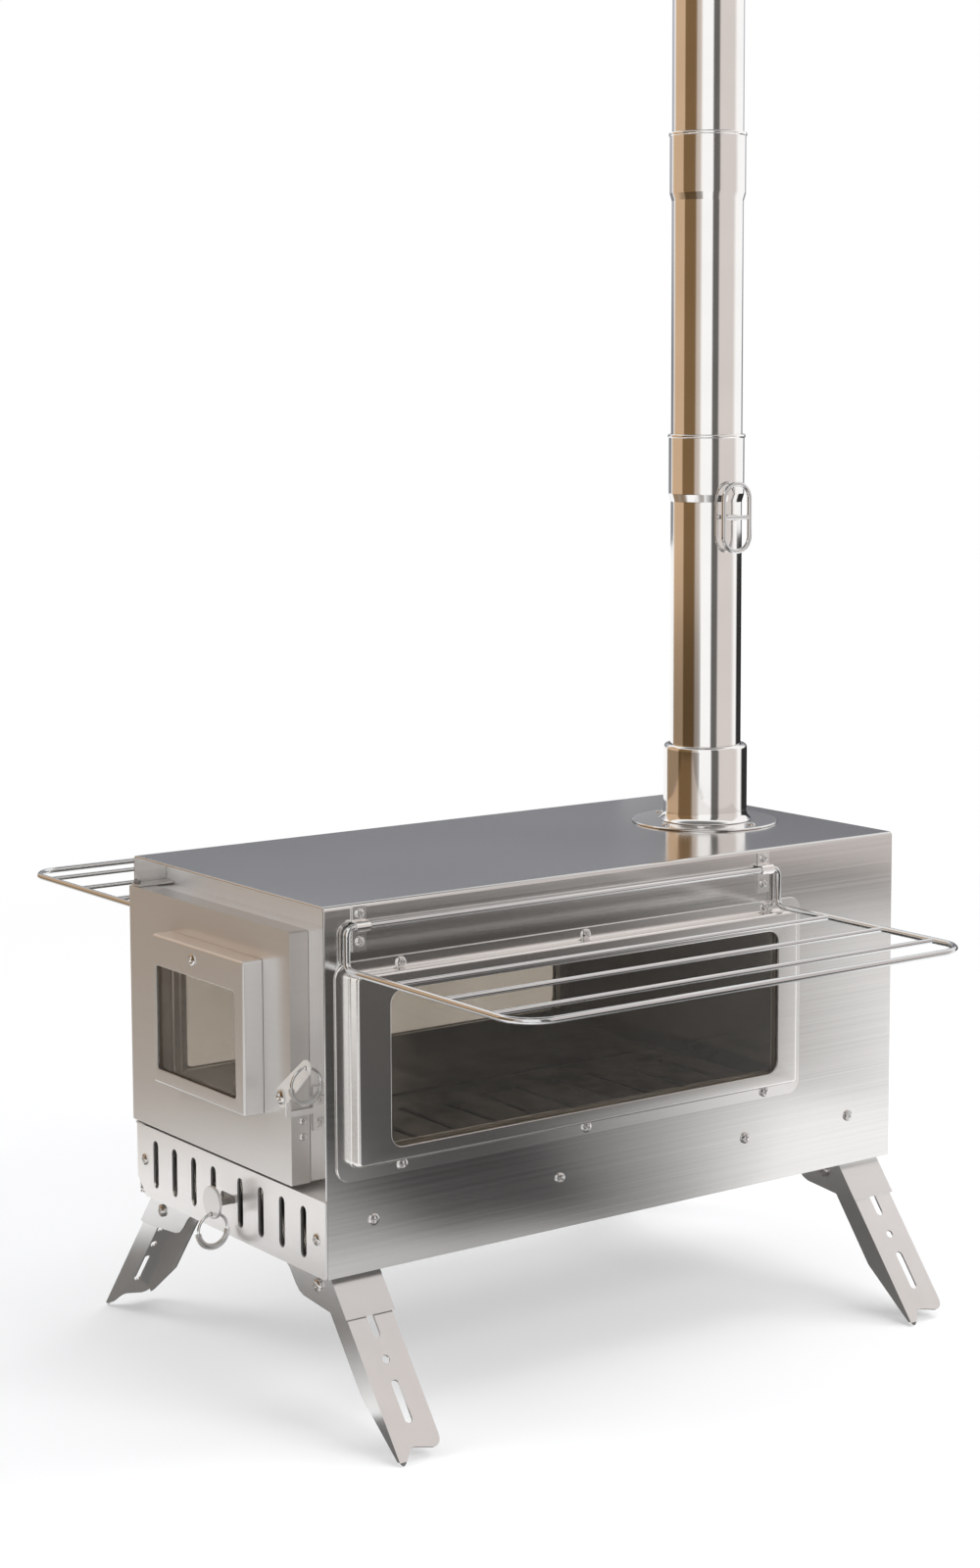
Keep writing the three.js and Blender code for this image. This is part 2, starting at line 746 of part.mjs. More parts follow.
function sideRack() {
  const low = topZ - rackDrop;
  const outer = rackX + rackReach;
  const middle = (rackFront + rackRear) / 2;
  const half = (from, to) => bentPath(
    [
      axis(rackX, middle, rackZ),
      axis(rackX, from, rackZ),
      axis(rackX, from, low),
      axis(outer, from, low),
      axis(outer, to, low),
    ],
    [rackBend, rackBend, rackCorner],
    6,
  );
  const frame = join(
    wireThrough(half(rackFront, middle), rackWire, 8),
    wireThrough(half(rackRear, middle), rackWire, 8),
  );
  const rods = rackRods.map((reach) => bar('y', rackX + reach, low, rackFront, rackRear, rackRodWire, 8));
  return join(frame, ...rods);
}

function rackClip(front) {
  const inner = rackWire + gap;
  const outer = inner + thin;
  const face = halfWidth + gap;
  const y1 = front + clipWidth;
  return cut(
    join(
      block(face, face + thin, front, y1, topZ - clipBottom, topZ - clipTop),
      block(face, rackX, front, y1, rackZ - outer, rackZ + outer),
      bar('y', rackX, rackZ, front, y1, outer, 16),
    ),
    bar('y', rackX, rackZ, front - 1, y1 + 1, inner, 16),
    block(face - 1, rackX, front - 1, y1 + 1, rackZ - inner, rackZ + inner),
  );
}

const clipStations = [rackFront + rackBend + 1, rackRear - rackBend - 1 - clipWidth];

// ---------------------------------------------------------------- legs (front right, then copied)
const legX = halfWidth - legPivotInset;
const legZ = floorZ - legPivotDrop;
const legBase = new THREE.Matrix4().makeBasis(
  axis(Math.sin(legSplay), 0, -Math.cos(legSplay)),
  axis(0, 1, 0),
  axis(Math.cos(legSplay), 0, Math.sin(legSplay)),
);
const legFoot = (legZ + (legWebOffset - sheet) * Math.sin(legSplay)) / Math.cos(legSplay);
const legFront = bracketFront + sheet + gap;

// Leg axes: x runs down the leg from the pivot, y along the stove, z out through the web.
function placeLeg(solid) {
  const place = new THREE.Matrix4().makeTranslation(legX, legFront, legZ).multiply(legBase);
  return solid.transform(place.toArray());
}

function leg() {
  const web = legWebOffset;
  const edge = web - legFlange;
  const side = new THREE.Shape();
  side.moveTo(legWebTop, web);
  side.lineTo(legFoot, web);
  side.lineTo(legFoot, web - sheet);
  side.lineTo(legFoot - 62, edge);
  side.lineTo(legEye + 12, edge);
  side.quadraticCurveTo(legEye + 4, edge, legEye * 0.7, -legEye * 0.7);
  side.absarc(0, 0, legEye, -Math.PI / 4, -Math.PI, true);
  side.lineTo(-legEye, 3);
  const channel = cut(
    push(side, 'y', 0, legWidth, 4),
    block(-legEye - 1, legFoot + 1, sheet, legWidth - sheet, -legEye - 1, web - sheet),
  );
  const foot = new THREE.Shape();
  foot.moveTo(-2, legFoot + 2);
  foot.lineTo(0, legFoot - 2);
  foot.quadraticCurveTo(1, legFoot, 3, legFoot);
  foot.quadraticCurveTo(7, legFoot - 3, 10, legFoot - 8);
  foot.quadraticCurveTo(13, legFoot - 13, 19, legFoot - 11);
  foot.lineTo(legWidth - 8, legFoot - 8);
  foot.quadraticCurveTo(legWidth, legFoot - 8, legWidth, legFoot - 17);
  foot.lineTo(legWidth + 2, legFoot - 17);
  foot.lineTo(legWidth + 2, legFoot + 2);
  const footTool = toSolid(
    new THREE.ExtrudeGeometry(foot, { depth: 60, bevelEnabled: false, curveSegments: 4 })
      .applyMatrix4(new THREE.Matrix4().makeBasis(axis(0, 1, 0), axis(1, 0, 0), axis(0, 0, -1)))
      .translate(0, 0, web + 1),
  );
  const middle = legWidth / 2;
  const half = legSlot.width / 2;
  const slot = (start) => push(
    roundedRect(start, start + legSlot.length, middle - half, middle + half, half - 0.01),
    'z', web - sheet - 1, web + 1, 2,
  );
  return placeLeg(cut(
    channel,
    footTool,
    slot(20),
    slot(86),
    bar('z', 70, middle, web - sheet - 1, web + 1, half, 16),
    bar('y', 0, 0, -1, legWidth + 1, legPin + 0.1, 12),
  ));
}

// Two cheeks, a top plate under the firebox and a sloping stop that the leg leans against.
function legBracket() {
  const width = legWidth + 2 * (sheet + gap);
  const top = floorZ - gap;
  const slope = Math.tan(legSplay);
  const stopX = (z, offset) => legX + offset / Math.cos(legSplay) + (legZ - z) * slope;
  const stop = legWebOffset + gap + sheet;
  const low = floorZ - bracketFoot;
  const inner = halfWidth - bracketInner;
  const cheek = new THREE.Shape();
  cheek.moveTo(inner, top);
  cheek.lineTo(inner, top - 3);
  cheek.bezierCurveTo(inner + 14, top - 3, inner + 16, low + 6, inner + 30, low + 3.5);
  cheek.lineTo(stopX(low, stop) - 8, low - 1);
  cheek.lineTo(stopX(low, stop), low);
  cheek.lineTo(stopX(top, stop), top);
  const hollow = new THREE.Shape();
  const inside = legWebOffset + gap;
  hollow.moveTo(inner - 5, top - sheet);
  hollow.lineTo(inner - 5, low - 5);
  hollow.lineTo(stopX(low - 5, inside), low - 5);
  hollow.lineTo(stopX(top - sheet, inside), top - sheet);
  return cut(
    push(cheek, 'y', bracketFront, bracketFront + width, 6),
    push(hollow, 'y', bracketFront + sheet, bracketFront + width - sheet),
    bar('y', legX, legZ, bracketFront - 1, bracketFront + width + 1, legPin + 0.1, 12),
  );
}

function legPivotPin() {
  const width = legWidth + 2 * (sheet + gap);
  const y0 = bracketFront;
  return join(
    bar('y', legX, legZ, y0 - gap - 1, y0 + width + gap + 1, legPin, 12),
    bar('y', legX, legZ, y0 - gap - 2.5, y0 - gap, 5, 16),
    bar('y', legX, legZ, y0 + width + gap, y0 + width + gap + 2.5, 5, 6),
  );
}

// ---------------------------------------------------------------- chimney
function flueFlange() {
  const z = topZ + gap;
  const bore = pipeRadius - pipeWall - gap;
  return turned([
    [bore, z],
    [flangeRadius, z],
    [flangeRadius, z + 0.8],
    [flangeRadius - 1, z + sheet],
    [bore, z + sheet],
  ], 0, flueFromFront, 48);
}

const collarRadius = pipeRadius + collarPast;
const collarBase = topZ + sheet + 2 * gap;
const collarTop = topZ + collarHeight;

function flueCollar() {
  const inner = pipeRadius + 0.6;
  return turned([
    [collarRadius - thin, collarBase],
    [collarRadius + 3, collarBase],
    [collarRadius + 3, collarBase + 1],
    [collarRadius, collarBase + 3],
    [collarRadius, collarTop - 3],
    [collarRadius - 1, collarTop - 0.8],
    [collarRadius - 3, collarTop],
    [inner, collarTop],
    [inner, collarTop - thin],
    [collarRadius - thin, collarTop - 4],
  ], 0, flueFromFront);
}

// One pipe: a plain tube whose top end is belled out to take the next one.
function pipeSection(base, length) {
  const top = base + length;
  const bell = pipeRadius + socketClearance;
  const inner = pipeRadius - pipeWall;
  return turned([
    [inner, base],
    [pipeRadius, base],
    [pipeRadius, top - socketDepth - 6],
    [bell + pipeWall, top - socketDepth],
    [bell + pipeWall, top - 3],
    [bell + pipeWall + 1, top - 1.5],
    [bell + pipeWall, top],
    [bell, top],
    [bell, top - socketDepth],
    [inner, top - socketDepth - 6],
  ], 0, flueFromFront);
}

const pipeBases = [topZ + sheet + 2 * gap];
pipeBases.push(pipeBases[0] + damperSectionLength - socketDepth - gap);
pipeBases.push(pipeBases[1] + sectionLength - socketDepth - gap);
const damperZ = topZ + flueDamperHeight;
const arrestorBase = pipeBases[2] + sectionLength - socketDepth - gap;

function damperSection() {
  const holes = bar('x', flueFromFront, damperZ, -pipeRadius - 5, pipeRadius + 5, spindleRadius + 0.1, 16);
  return cut(pipeSection(pipeBases[0], damperSectionLength), holes);
}

function damperBlade() {
  const radius = pipeRadius - pipeWall - flueDamperClearance;
  const hub = spindleRadius + gap + 1;
  return cut(
    join(
      bar('y', 0, damperZ, flueFromFront - 0.75, flueFromFront + 0.75, radius, 32),
      bar('x', flueFromFront, damperZ, -radius + 3, radius - 3, hub, 16),
    ),
    bar('x', flueFromFront, damperZ, -radius - 1, radius + 1, spindleRadius + gap, 16),
    block(-radius - 1, -radius + 3.1, flueFromFront - 2, flueFromFront + 2, damperZ - 3, damperZ + 3),
    block(radius - 3.1, radius + 1, flueFromFront - 2, flueFromFront + 2, damperZ - 3, damperZ + 3),
  );
}

// The spindle runs through the pipe and ends in a standing wire loop that turns the blade.
function damperSpindle() {
  const x = pipeRadius + damperLoop.reach;
  const w = damperLoop.width / 2;
  const h = damperLoop.height / 2;
  const outline = roundedRect(flueFromFront - w, flueFromFront + w, damperZ - h, damperZ + h, w - 1);
  const loop = outline.getPoints(2).slice(0, -1).map((p) => axis(x, p.x, p.y));
  return join(
    bar('x', flueFromFront, damperZ, -pipeRadius - 6, x, spindleRadius, 16),
    bar('y', x, damperZ, flueFromFront - w, flueFromFront + w, 2, 10),
    wireThrough(loop, 2, 8, true),
  );
}

function sparkArrestor() {
  const z = arrestorBase;
  const top = z + arrestorHeight;
  const inner = pipeRadius - pipeWall;
  const tube = turned([[inner, z], [pipeRadius, z], [pipeRadius, top], [inner, top]], 0, flueFromFront, 32);
  const slots = [];
  const low = z + socketDepth + 8;
  for (let i = 0; i < arrestorSlots / 2; i++) {
    const turn = new THREE.Matrix4().makeRotationZ((2 * Math.PI * (i + 0.5)) / arrestorSlots);
    turn.setPosition(0, flueFromFront, 0);
    const bothWalls = block(-pipeRadius - 2, pipeRadius + 2, -2.5, 2.5, low, top - 4);
    slots.push(bothWalls.transform(turn.toArray()));
  }
  return cut(tube, ...slots);
}

// A sheet cone with a short skirt. It sits on the rim of the arrestor.
function rainCap() {
  const seat = arrestorBase + arrestorHeight + gap;
  const under = (r) => seat + ((pipeRadius - r) * capRise) / capRadius;
  return turned([
    [0, under(0)],
    [capRadius - thin, under(capRadius - thin)],
    [capRadius - thin, under(capRadius) - capSkirt],
    [capRadius, under(capRadius) - capSkirt],
    [capRadius, under(capRadius) + thin],
    [0, under(0) + thin],
  ], 0, flueFromFront, 36);
}

// ---------------------------------------------------------------- assembly
add('casing', casing(), brushed);
add('bottom_plate', bottomPlate(), brushed);
add('back_plate', backPlate(), brushed);
add('front_frame', frontFrame(), brushed);
add('air_panel', airPanel(), brushed);
add('air_slide', airSlide(), darkSteel);
add('damper_knob', damperKnob(), brushed);

const damperRing = ringHandle(slideStemX, knobFace - gap - knobThickness / 2, knobEyeZ);
add('damper_ring', damperRing.ring, wireSteel);
add('damper_ring_grip', damperRing.grip, wireSteel);

add('door_panel', doorPanel(), brushed);
add('door_window_pan', doorWindowPan(), brushed);
add('door_glass', doorGlass(), clearGlass);
add('door_glass_clamp', doorGlassClamp(), darkSteel);
add('hinge_lug_upper', hingeLug(upperLugZ, recess - gap), brushed);
add('hinge_lug_lower', hingeLug(lowerLugZ, recess - 4), brushed);
const upperHead = upperLugZ + sheet + gap;
const lowerShoulder = lowerLugZ + sheet + gap;
const upperPin = hingePinAt(doorTop - hingePinReach, upperHead + 1, upperHead, upperHead + 1.6);
add('hinge_pin_upper', upperPin, darkSteel);
const lowerPin = hingePinAt(
  lowerLugZ + gap / 3, doorBottom + hingePinReach, lowerShoulder, doorBottom - gap,
);
add('hinge_pin_lower', lowerPin, darkSteel);

add('latch_lever', latchLever(), brushed);
add('latch_pivot_screw', latchPivotScrew(), darkSteel);
add('latch_keeper', latchKeeper(), brushed);
const latchRing = ringHandle(eyeX, (leverFace + leverBack) / 2, eyeZ);
add('latch_ring', latchRing.ring, wireSteel);
add('latch_ring_grip', latchRing.grip, wireSteel);
console.log('least gap between grip turns, mm:', gripGap(latchRing).toFixed(2));

add('fire_grate', fireGrate(), darkSteel);
const sides = { right: (solid) => solid, left: toLeft };
for (const [side, placed] of Object.entries(sides)) {
  add('side_window_frame_' + side, placed(sideWindowFrame()), brushed);
  add('side_glass_' + side, placed(sideGlass()), clearGlass);
  add('side_gasket_' + side, placed(sideGasket()), ropeSeal);
  add('grate_rail_' + side, placed(grateRail()), darkSteel);
  add('side_rack_' + side, placed(sideRack()), wireSteel);
  clipStations.forEach((front, i) => {
    add('rack_clip_' + ['front', 'rear'][i] + '_' + side, placed(rackClip(front)), polished);
  });
}

const bracketWidth = legWidth + 2 * (sheet + gap);
const toRear = (solid) => solid.translate([0, bodyLength - 2 * bracketFront - bracketWidth, 0]);
const ends = { front: (solid) => solid, rear: toRear };
for (const [end, shifted] of Object.entries(ends)) {
  for (const [side, placed] of Object.entries(sides)) {
    const corner = end + '_' + side;
    add('leg_bracket_' + corner, placed(shifted(legBracket())), brushed);
    add('leg_' + corner, placed(shifted(leg())), legSteel);
    add('leg_pin_' + corner, placed(shifted(legPivotPin())), darkSteel);
  }
}

add('flue_flange', flueFlange(), polished);
add('flue_collar', flueCollar(), polished);
add('pipe_section_1', damperSection(), polished);
add('flue_damper_blade', damperBlade(), darkSteel);
add('flue_damper_handle', damperSpindle(), wireSteel);
add('pipe_section_2', pipeSection(pipeBases[1], sectionLength), polished);
add('pipe_section_3', pipeSection(pipeBases[2], sectionLength), polished);
add('spark_arrestor', sparkArrestor(), polished);
add('rain_cap', rainCap(), polished);

// The footprint is centred on the origin, front to back. It is already centred across.
const footprint = new THREE.Box3().setFromObject(stove);
stove.position.y = -(footprint.min.y + footprint.max.y) / 2;

export default stove;
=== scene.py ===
"""Looks of the folding tent wood stove: smooth pipes, wires, folded frames, screws and steel finishes.

Pieces are laid out in stove millimetres: x across, y from the firebox front edge rearwards, z up
from the ground. carry() turns them into metres about the middle of the footprint.
"""

import bmesh
import bpy
import math
import numpy as np
from mathutils import Matrix, Vector


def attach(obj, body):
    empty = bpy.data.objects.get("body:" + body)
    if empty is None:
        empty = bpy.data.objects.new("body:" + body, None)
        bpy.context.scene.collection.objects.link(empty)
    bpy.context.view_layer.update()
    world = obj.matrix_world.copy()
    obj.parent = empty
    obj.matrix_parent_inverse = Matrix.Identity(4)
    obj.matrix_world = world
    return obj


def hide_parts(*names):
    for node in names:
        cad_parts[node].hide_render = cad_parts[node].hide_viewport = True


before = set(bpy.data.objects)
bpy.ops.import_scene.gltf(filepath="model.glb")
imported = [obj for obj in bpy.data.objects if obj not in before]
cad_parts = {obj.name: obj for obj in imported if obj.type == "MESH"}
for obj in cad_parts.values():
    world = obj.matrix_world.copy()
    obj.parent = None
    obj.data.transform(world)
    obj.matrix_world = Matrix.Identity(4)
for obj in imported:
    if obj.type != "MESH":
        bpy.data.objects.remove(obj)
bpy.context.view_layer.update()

# The firebox front edge, measured from the middle of the footprint.
FRONT_EDGE = 1000 * min(corner[1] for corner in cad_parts["casing"].bound_box)
TOP = 393.0  # height of the top plate's upper face
SIDE = 140.0  # half the width of the casing
TAU = 2 * np.pi
# A direction that no straight run or bend of these wires ever takes.
LEAN = np.array([0.6, 0.5, 0.62])


# ---------------------------------------------------------------- surfaces
def carry(points):
    """Stove millimetres to metres: the front-edge offset is added to y, then all is divided by 1000."""
    return (np.asarray(points, float) + [0, FRONT_EDGE, 0]) / 1000


def skin(grid, wrap_rows, wrap_columns):
    """Vertices and four-cornered faces of a grid of points, joined end to end where it wraps."""
    rows, columns = grid.shape[:2]
    row = np.arange(rows if wrap_rows else rows - 1)[:, None]
    column = np.arange(columns if wrap_columns else columns - 1)[None, :]
    next_row, next_column = (row + 1) % rows, (column + 1) % columns
    faces = np.stack([row * columns + column, next_row * columns + column,
                      next_row * columns + next_column, row * columns + next_column], -1)
    return grid.reshape(-1, 3), faces.reshape(-1, 4)


def gather(shapes):
    """Several skins as one list of vertices and one of faces, each numbered after the last."""
    starts = np.cumsum([0] + [len(v) for v, _ in shapes[:-1]])
    points = [v for v, _ in shapes]
    faces = [f + s for (_, f), s in zip(shapes, starts)]
    return np.concatenate(points), np.concatenate(faces)


def piece(name, body, shapes, finish, replaces=(), crease=35, even=False):
    """A closed piece from skins. Poles and seams are merged and its faces are turned outwards. Edges
    bent by more than the crease, in degrees, stay sharp, and even weighs the shading by face area."""
    points, faces = gather(shapes)
    mesh = bpy.data.meshes.new(name)
    mesh.from_pydata(carry(points), [], faces.tolist())
    work = bmesh.new()
    work.from_mesh(mesh)
    bmesh.ops.remove_doubles(work, verts=work.verts, dist=2e-7)
    bmesh.ops.recalc_face_normals(work, faces=work.faces)
    for edge in work.edges:
        edge.smooth = len(edge.link_faces) == 2 and edge.calc_face_angle(0) < math.radians(crease)
    for face in work.faces:
        face.smooth = True
    work.to_mesh(mesh)
    work.free()
    made = bpy.data.objects.new(name, mesh)
    bpy.context.scene.collection.objects.link(made)
    made.data.materials.append(finish)
    if even:
        level = made.modifiers.new("even_faces", "WEIGHTED_NORMAL")
        level.keep_sharp = True
    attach(made, body)
    if replaces:
        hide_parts(*replaces)
    return made


def spun(profile, centre, segments=96):
    """Profile (radius, height) carried round an upright axis: x = r cos a, y = r sin a, z = height."""
    profile = np.asarray(profile, float)
    turn = np.linspace(0, TAU, segments, endpoint=False)[:, None]
    r, h = profile[None, :, 0], profile[None, :, 1] + 0 * turn
    grid = np.stack([r * np.cos(turn), r * np.sin(turn), h], -1)
    return skin(grid + np.asarray(centre, float), True, True)


def domed(path, lean, radius):
    """An open path with four stations more at each end, and the radius at every station. The radius
    falls to nothing at both ends, as the square root of the way out along a small dome."""
    first, last = path[1] - path[0], path[-1] - path[-2]
    first, last = first / np.linalg.norm(first), last / np.linalg.norm(last)
    dome = np.array([0, 0.35, 0.7, 0.92])
    head = path[0] - np.outer((1 - dome) * radius * 0.35, first)
    tail = path[-1] + np.outer((1 - dome[::-1]) * radius * 0.35, last)
    radii = np.concatenate([np.sqrt(dome), np.ones(len(path)), np.sqrt(dome[::-1])]) * radius
    lean = np.concatenate([lean[:1].repeat(len(dome), 0), lean, lean[-1:].repeat(len(dome), 0)])
    return np.concatenate([head, path, tail]), lean, radii


def wire(path, radius, sides=14, loop=False, lean=LEAN):
    """A round section carried along a path. One of its two radii is the lean less its share along
    the path, and the other is square to both. An open wire ends in small domes."""
    path = np.asarray(path, float)
    lean = np.broadcast_to(np.asarray(lean, float), path.shape)
    if loop:
        radii = np.full(len(path), radius)
        along = np.roll(path, -1, 0) - np.roll(path, 1, 0)
    else:
        path, lean, radii = domed(path, lean, radius)
        along = np.gradient(path, axis=0)
    along /= np.linalg.norm(along, axis=1, keepdims=True)
    side = lean - along * np.sum(along * lean, -1, keepdims=True)
    side /= np.linalg.norm(side, axis=1, keepdims=True)
    across = np.cross(along, side)
    turn = np.linspace(0, TAU, sides, endpoint=False)
    ring = np.cos(turn)[None, :, None] * side[:, None] + np.sin(turn)[None, :, None] * across[:, None]
    return skin(path[:, None] + ring * radii[:, None, None], loop, True)


def bent(corners, radii, steps=10):
    """Straight runs between corners, each corner replaced by an arc tangent to both runs."""
    corners = [np.asarray(c, float) for c in corners]
    out = [corners[0][None]]
    for before, at, after, radius in zip(corners, corners[1:], corners[2:], radii):
        into, away = before - at, after - at
        into, away = into / np.linalg.norm(into), away / np.linalg.norm(away)
        half = np.arccos(np.clip(into.dot(away), -1, 1)) / 2
        middle = (into + away) / np.linalg.norm(into + away)
        centre = at + middle * radius / np.sin(half)
        start, end = at + into * radius / np.tan(half) - centre, at + away * radius / np.tan(half) - centre
        sweep = np.arccos(np.clip(start.dot(end) / radius**2, -1, 1))
        s = np.linspace(0, 1, steps + 1)[:, None]
        arc = (np.sin((1 - s) * sweep) * start + np.sin(s * sweep) * end) / np.sin(sweep)
        out.append(arc + centre)
    out.append(corners[-1][None])
    return np.concatenate(out)


def rounded(a0, a1, b0, b1, radius, steps=6):
    """A rectangle's outline with quarter-circle corners, always with the same count of points."""
    quarter = np.linspace(0, np.pi / 2, steps + 1)
    ends = [(a1 - radius, b0 + radius, -np.pi / 2), (a1 - radius, b1 - radius, 0)]
    ends += [(a0 + radius, b1 - radius, np.pi / 2), (a0 + radius, b0 + radius, np.pi)]
    return np.concatenate([np.stack([a + radius * np.cos(s + quarter), b + radius * np.sin(s + quarter)], -1)
                           for a, b, s in ends])


def hoops(loops, plane):
    """Outlines joined one to the next, and the last to the first. Each is an outline in two axes
    and its height on the third: plane "yz" has height along x, and "xz" has height along y."""
    rows = []
    for outline, height in loops:
        level = np.full(len(outline), float(height))
        a, b = outline[:, 0], outline[:, 1]
        rows.append(np.stack([level, a, b] if plane == "yz" else [a, level, b], -1))
    return skin(np.stack(rows), True, True)


def mirrored(shapes):
    """The same skins on the other side: x changes sign and each face is read backwards."""
    return [(v * [-1, 1, 1], f[:, ::-1]) for v, f in shapes]


def by_side(shapes):
    """The skins of the right side and their mirror images, each with the name of its side."""
    return ("right", shapes), ("left", mirrored(shapes))


# ---------------------------------------------------------------- finishes
# Places of a colour mix node's sockets.
MIX_AMOUNT, MIX_FIRST, MIX_SECOND, MIX_RESULT = 0, 6, 7, 2


class Nodes:
    """Short names for the shader nodes of one material."""

    def __init__(self, name):
        self.material = bpy.data.materials.new(name)
        self.material.use_nodes = True
        self.tree = self.material.node_tree
        self.shader = self.tree.nodes["Principled BSDF"]
        self.place = self.tree.nodes.new("ShaderNodeTexCoord").outputs["Object"]

    def link(self, value, socket):
        """Feed a socket from another node's output, or set it when the value is a plain one."""
        if hasattr(value, "is_output"):
            self.tree.links.new(value, socket)
        else:
            socket.default_value = value

    def noise(self, scale, stretch=(1, 1, 1), detail=3, rough=0.5):
        """Noise on object coordinates, squeezed along each axis by its factor."""
        fit = self.tree.nodes.new("ShaderNodeMapping")
        fit.inputs["Scale"].default_value = stretch
        self.link(self.place, fit.inputs["Vector"])
        made = self.tree.nodes.new("ShaderNodeTexNoise")
        self.link(fit.outputs[0], made.inputs["Vector"])
        made.inputs["Scale"].default_value = scale
        made.inputs["Detail"].default_value = detail
        made.inputs["Roughness"].default_value = rough
        return made.outputs["Fac"]

    def spread(self, value, low, high, from_low=0.0, from_high=1.0):
        """The value carried in a straight line from its own range to the range low to high."""
        made = self.tree.nodes.new("ShaderNodeMapRange")
        settings = {"Value": value, "From Min": from_low, "From Max": from_high,
                    "To Min": low, "To Max": high}
        for socket, setting in settings.items():
            self.link(setting, made.inputs[socket])
        return made.outputs["Result"]

    def blend(self, amount, first, second):
        """The first colour at amount 0, the second at 1, and a straight mix between."""
        made = self.tree.nodes.new("ShaderNodeMix")
        made.data_type = "RGBA"
        self.link(amount, made.inputs[MIX_AMOUNT])
        self.link(first, made.inputs[MIX_FIRST])
        self.link(second, made.inputs[MIX_SECOND])
        return made.outputs[MIX_RESULT]

    def maths(self, kind, a, b):
        """One sum, product or other operation on two values."""
        made = self.tree.nodes.new("ShaderNodeMath")
        made.operation = kind
        self.link(a, made.inputs[0])
        self.link(b, made.inputs[1])
        return made.outputs[0]

    def height(self, value, strength, distance):
        """Relief on the surface, higher where the value is higher, by at most the distance."""
        made = self.tree.nodes.new("ShaderNodeBump")
        made.inputs["Strength"].default_value = strength
        made.inputs["Distance"].default_value = distance
        self.link(value, made.inputs["Height"])
        self.link(made.outputs[0], self.shader.inputs["Normal"])


def grey(level, warmth=0.0):
    """A neutral linear colour, with red raised and blue lowered by the warmth."""
    return (level * (1 + warmth), level, level * (1 - warmth), 1)


def brushed_steel(name, level, rough, squeeze, warmth=0.02, streak=0.04, metal=1.0):
    """Stainless sheet with fine scratches. Noise is squeezed along each axis by its factor, so that
    its hairs lie along the axes with small factors. The hairs change the sheet's lightness and
    roughness, and a broad noise clouds it."""
    look = Nodes(name)
    hair = look.noise(1, squeeze, detail=2, rough=0.5)
    cloud = look.noise(7, detail=2)
    dark, light = grey(level * (1 - streak), warmth), grey(level * (1 + streak), warmth)
    look.link(look.blend(look.spread(hair, 0, 1, 0.25, 0.75), dark, light), look.shader.inputs["Base Color"])
    look.shader.inputs["Metallic"].default_value = metal
    lines = look.spread(hair, rough - streak * 0.3, rough + streak * 0.3, 0.25, 0.75)
    look.link(look.maths("ADD", lines, look.spread(cloud, -0.01, 0.01)), look.shader.inputs["Roughness"])
    return look.material


def polished_steel(name, level, rough, warmth=0.02):
    """Bright steel: near mirror, with a faint clouding of its roughness and colour, and a relief of
    at most two hundredths of a millimetre."""
    look = Nodes(name)
    cloud = look.noise(18, detail=3)
    dark, light = grey(level * 0.93, warmth), grey(level * 1.05, warmth)
    look.link(look.blend(cloud, dark, light), look.shader.inputs["Base Color"])
    look.shader.inputs["Metallic"].default_value = 1.0
    look.link(look.spread(cloud, rough * 0.7, rough * 1.4), look.shader.inputs["Roughness"])
    look.height(look.noise(220, (1, 1, 0.15), detail=2), 0.08, 0.00002)
    return look.material


def sooty_steel(name, level, rough):
    """Inside and heat-darkened steel: matt brown-grey, with darker and rougher patches of soot that
    stand up slightly."""
    look = Nodes(name)
    patch = look.noise(22, detail=5, rough=0.6)
    bare, soot = grey(level, 0.08), grey(level * 0.5, 0.05)
    look.link(look.blend(look.spread(patch, 0, 1, 0.35, 0.65), bare, soot), look.shader.inputs["Base Color"])
    look.shader.inputs["Metallic"].default_value = 0.7
    look.link(look.spread(patch, rough - 0.1, rough + 0.15), look.shader.inputs["Roughness"])
    look.height(patch, 0.2, 0.0002)
    return look.material


def smoked_glass(name):
    """Heat-resistant glass with a brown soot film that is thicker in patches."""
    look = Nodes(name)
    film = look.noise(9, detail=3)
    thin, thick = (0.66, 0.62, 0.57, 1), (0.46, 0.42, 0.37, 1)
    look.link(look.blend(film, thin, thick), look.shader.inputs["Base Color"])
    look.shader.inputs["Transmission Weight"].default_value = 1.0
    look.shader.inputs["IOR"].default_value = 1.46
    look.link(look.spread(film, 0.015, 0.05), look.shader.inputs["Roughness"])
    return look.material


def rope_seal(name):
    """Braided glass-fibre rope: a bent wave pattern for the strands, in colour and relief."""
    look = Nodes(name)
    braid = look.tree.nodes.new("ShaderNodeTexWave")
    braid.inputs["Scale"].default_value = 90
    braid.inputs["Distortion"].default_value = 1.5
    look.link(look.place, braid.inputs["Vector"])
    groove, strand = (0.3, 0.28, 0.25, 1), (0.55, 0.52, 0.47, 1)
    look.link(look.blend(braid.outputs["Fac"], groove, strand), look.shader.inputs["Base Color"])
    look.shader.inputs["Roughness"].default_value = 0.9
    look.height(braid.outputs["Fac"], 0.5, 0.0006)
    return look.material


